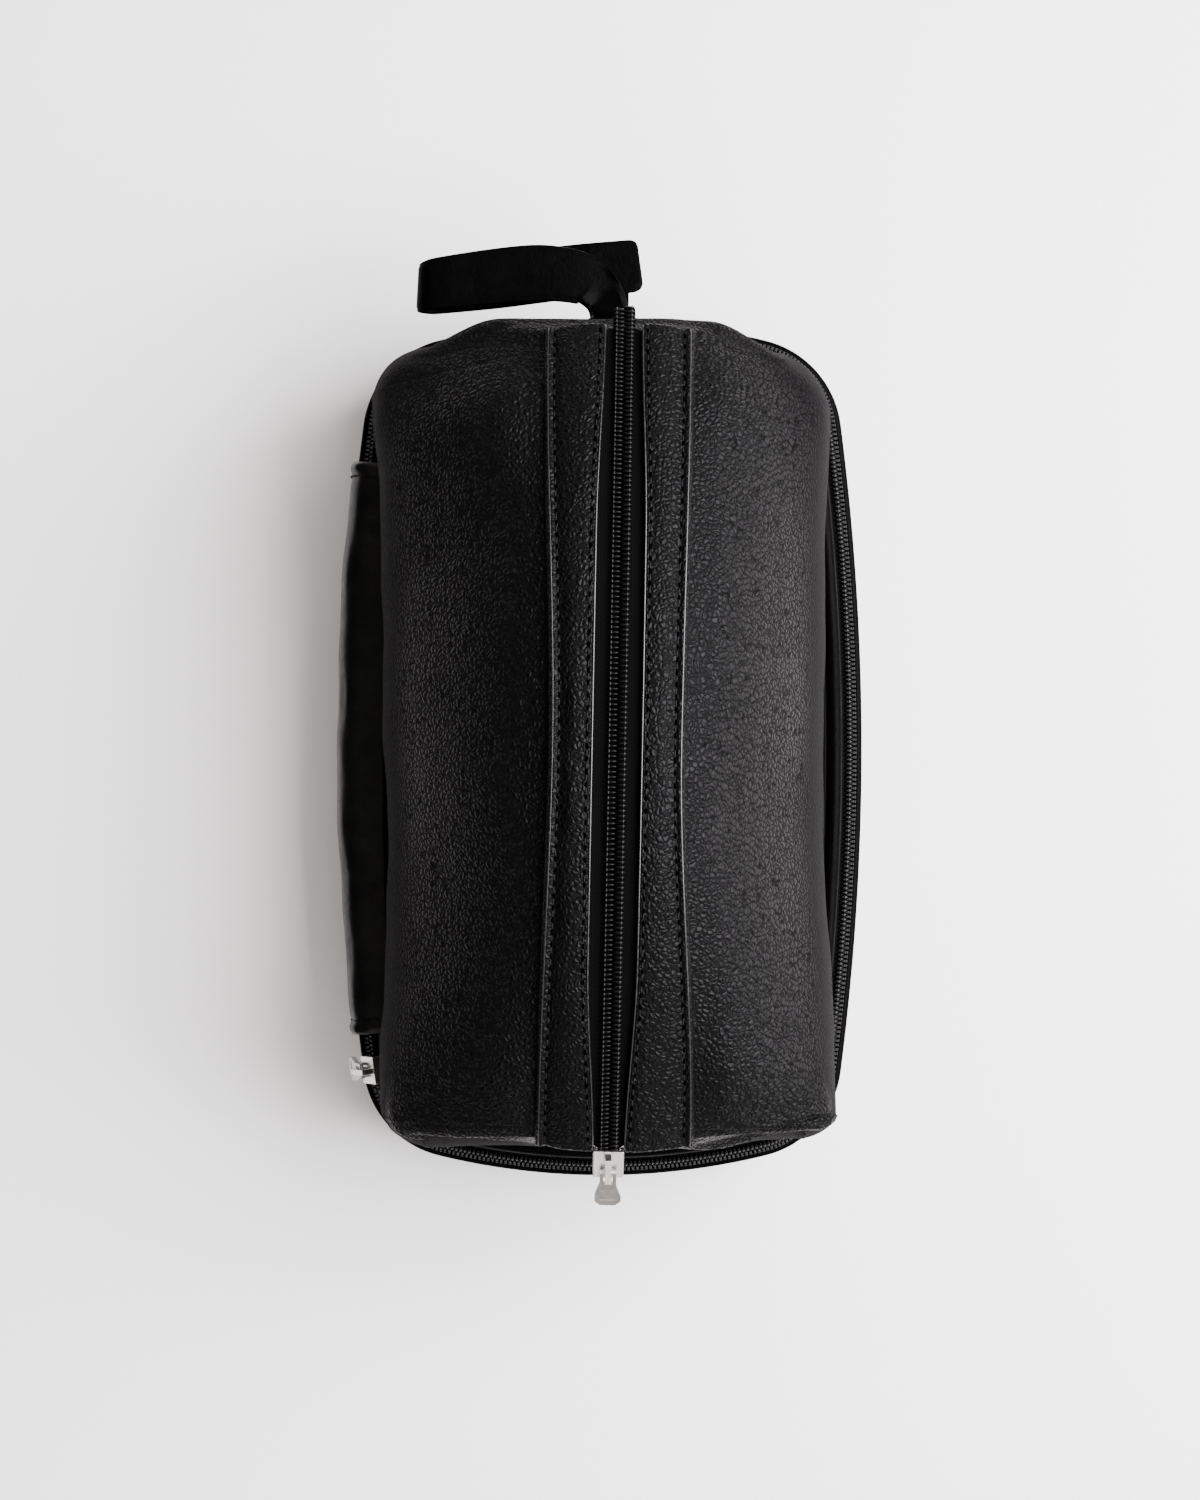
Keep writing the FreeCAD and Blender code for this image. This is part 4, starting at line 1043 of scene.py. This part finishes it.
def strap_rings(stations, count):
    """Flat leather with rounded edges through a list of stations, gathered in creases at the neck."""
    path = smooth_through(stations, count)
    around = np.linspace(0, 2 * np.pi, 44, endpoint=False)
    rings = []
    for i, (x, y, z, turn, width) in enumerate(path):
        tangent = unit(path[min(i + 1, count - 1)][:3] - path[max(i - 1, 0)][:3])
        turn = math.radians(turn)
        across = np.array([math.sin(turn), math.cos(turn), 0.0])
        across = unit(across - tangent * (across @ tangent))
        normal = np.cross(across, tangent)
        gathered = float(ease(turn, 0.2, 0.9))
        ring = []
        for angle in around:
            cosine, sine = math.cos(angle), math.sin(angle)
            reach = width / 2 * math.copysign(abs(cosine) ** 0.22, cosine)
            rise = STRAP_THICK / 2 * math.copysign(abs(sine) ** 0.55, sine)
            edge = abs(reach) / (width / 2)
            rise *= 1.0 - 0.16 * math.exp(-((edge - 0.88) / 0.05) ** 2)
            crease = 0.6 * math.sin(reach * 0.95 + turn * 6.0) + 0.3 * math.sin(reach * 2.1 - turn * 4.0)
            ring.append(np.array([x, y, z]) + across * reach + normal * (rise + crease * gathered))
        rings.append(ring)
    return rings


def round_tail(rings, length):
    """Narrow the first rings so that the strap's tail has rounded corners."""
    start = np.mean(rings[0], axis=0)
    for ring in rings:
        middle = np.mean(ring, axis=0)
        run = np.linalg.norm(middle - start)
        if run >= length:
            return
        keep = 0.72 + 0.28 * math.sqrt(max(0.0, 1 - (1 - run / length) ** 2))
        for point in ring:
            point[:] = middle + (point - middle) * np.array([1, keep, 1])


def handle_piece(name, rings, node, first_cap, last_cap):
    verts, faces = swept(rings, first_cap=first_cap, last_cap=last_cap)
    piece = new_piece(name, verts, faces, STRAP)
    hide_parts(node)
    return piece


def make_handle():
    """Strap folded once at the left, and the creased neck that joins it to the back wall."""
    rings = strap_rings(TAIL_STRAND + BEND + TOP_STRAND + NECK, 260)
    round_tail(rings, TAIL_ROUNDING)
    middles = [np.mean(ring, axis=0) for ring in rings]
    joint = next(i for i, middle in enumerate(middles) if middle[2] > 88.5 and middle[0] > -10.0)
    strap = handle_piece("strap", rings[:joint + 1], "handle_strap", True, False)
    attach(strap, "handle")
    neck = handle_piece("neck", rings[joint:], "handle_neck", False, True)
    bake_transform(neck)


# ---------------------------------------------------------------- CAD nodes that stay

def dress(node, material, bevel=0.0):
    """Give a CAD node its material and, for metal, softened edges."""
    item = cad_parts[node]
    for place in item.material_slots:
        place.material = material
    if bevel:
        item.modifiers.new("Weld", "WELD").merge_threshold = 0.005 * MM
        soft = item.modifiers.new("Bevel", "BEVEL")
        soft.width = bevel * MM
        soft.segments = 3
        soft.limit_method = "ANGLE"
        soft.angle_limit = math.radians(35)
        item.data.polygons.foreach_set("use_smooth", [False] * len(item.data.polygons))


def dress_nodes():
    for node in ("top_slider", "perimeter_slider"):
        dress(node, NICKEL, 0.3)
    for node in ("top_pull", "perimeter_pull"):
        dress(node, NICKEL, 0.25)
    for node in ("tray_lining", "divider_floor"):
        dress(node, LINING)
    dress("base_board", BOARD)
    dress("handle_tongue", STRAP)


# ---------------------------------------------------------------- studio

def make_floor():
    mesh = bpy.data.meshes.new("floor")
    reach = 4.0
    corners = [(-reach, -reach, 0), (reach, -reach, 0), (reach, reach, 0), (-reach, reach, 0)]
    mesh.from_pydata(corners, [], [(0, 1, 2, 3)])
    look = Shader("floor_paint", (0.80, 0.79, 0.78), 0.65)
    look.link(look.mix(look.noise(6, 3.0), (0.79, 0.78, 0.77), (0.82, 0.81, 0.80)), "Base Color")
    mesh.materials.append(look.material)
    floor = bpy.data.objects.new("floor", mesh)
    bpy.context.collection.objects.link(floor)


def soft_light(name, toward, strength, spread, color):
    """Distant light as wide as a bright wall; toward is where it comes from."""
    light = bpy.data.lights.new(name, "SUN")
    light.energy = strength
    light.angle = math.radians(spread)
    light.color = color
    item = bpy.data.objects.new(name, light)
    bpy.context.collection.objects.link(item)
    item.rotation_euler = Vector(toward).to_track_quat("Z", "Y").to_euler()


def softbox(name, place, power, width, color):
    """Square light panel facing the bag from a place in metres."""
    light = bpy.data.lights.new(name, "AREA")
    light.energy = power
    light.size = width
    light.color = color
    item = bpy.data.objects.new(name, light)
    bpy.context.collection.objects.link(item)
    item.location = place
    item.rotation_euler = Vector(place).to_track_quat("Z", "Y").to_euler()


def make_lights():
    world = bpy.data.worlds.new("studio")
    bpy.context.scene.world = world
    world.use_nodes = True
    background = world.node_tree.nodes["Background"]
    background.inputs["Color"].default_value = (1.0, 0.97, 0.94, 1)
    background.inputs["Strength"].default_value = 0.12
    softbox("window", (0.78, 0.12, 0.92), 112.0, 1.1, (1.0, 0.965, 1.0))
    soft_light("front_room", (0.15, -1.0, 1.1), 1.6, 50, (1.0, 0.96, 0.90))
    soft_light("back_room", (0.1, 1.0, 1.1), 1.2, 50, (1.0, 0.96, 0.90))


CAMERA_PLACE = (-0.7, -0.64, 812.0)


def make_camera():
    """Camera above the bag, looking straight down."""
    camera = bpy.data.cameras.new("camera")
    camera.sensor_width = 36.0
    camera.lens = 57.6
    item = bpy.data.objects.new("camera", camera)
    bpy.context.collection.objects.link(item)
    item.location = [value * MM for value in CAMERA_PLACE]
    item.rotation_euler = (0, 0, 0)
    bpy.context.scene.camera = item


make_camera()
make_floor()
make_lights()
shell_half(-1)
shell_half(1)
make_mouth_side(-1)
make_mouth_side(1)
leather_band()
underside()
make_tray_zip()
make_spine()
make_handle()
dress_nodes()
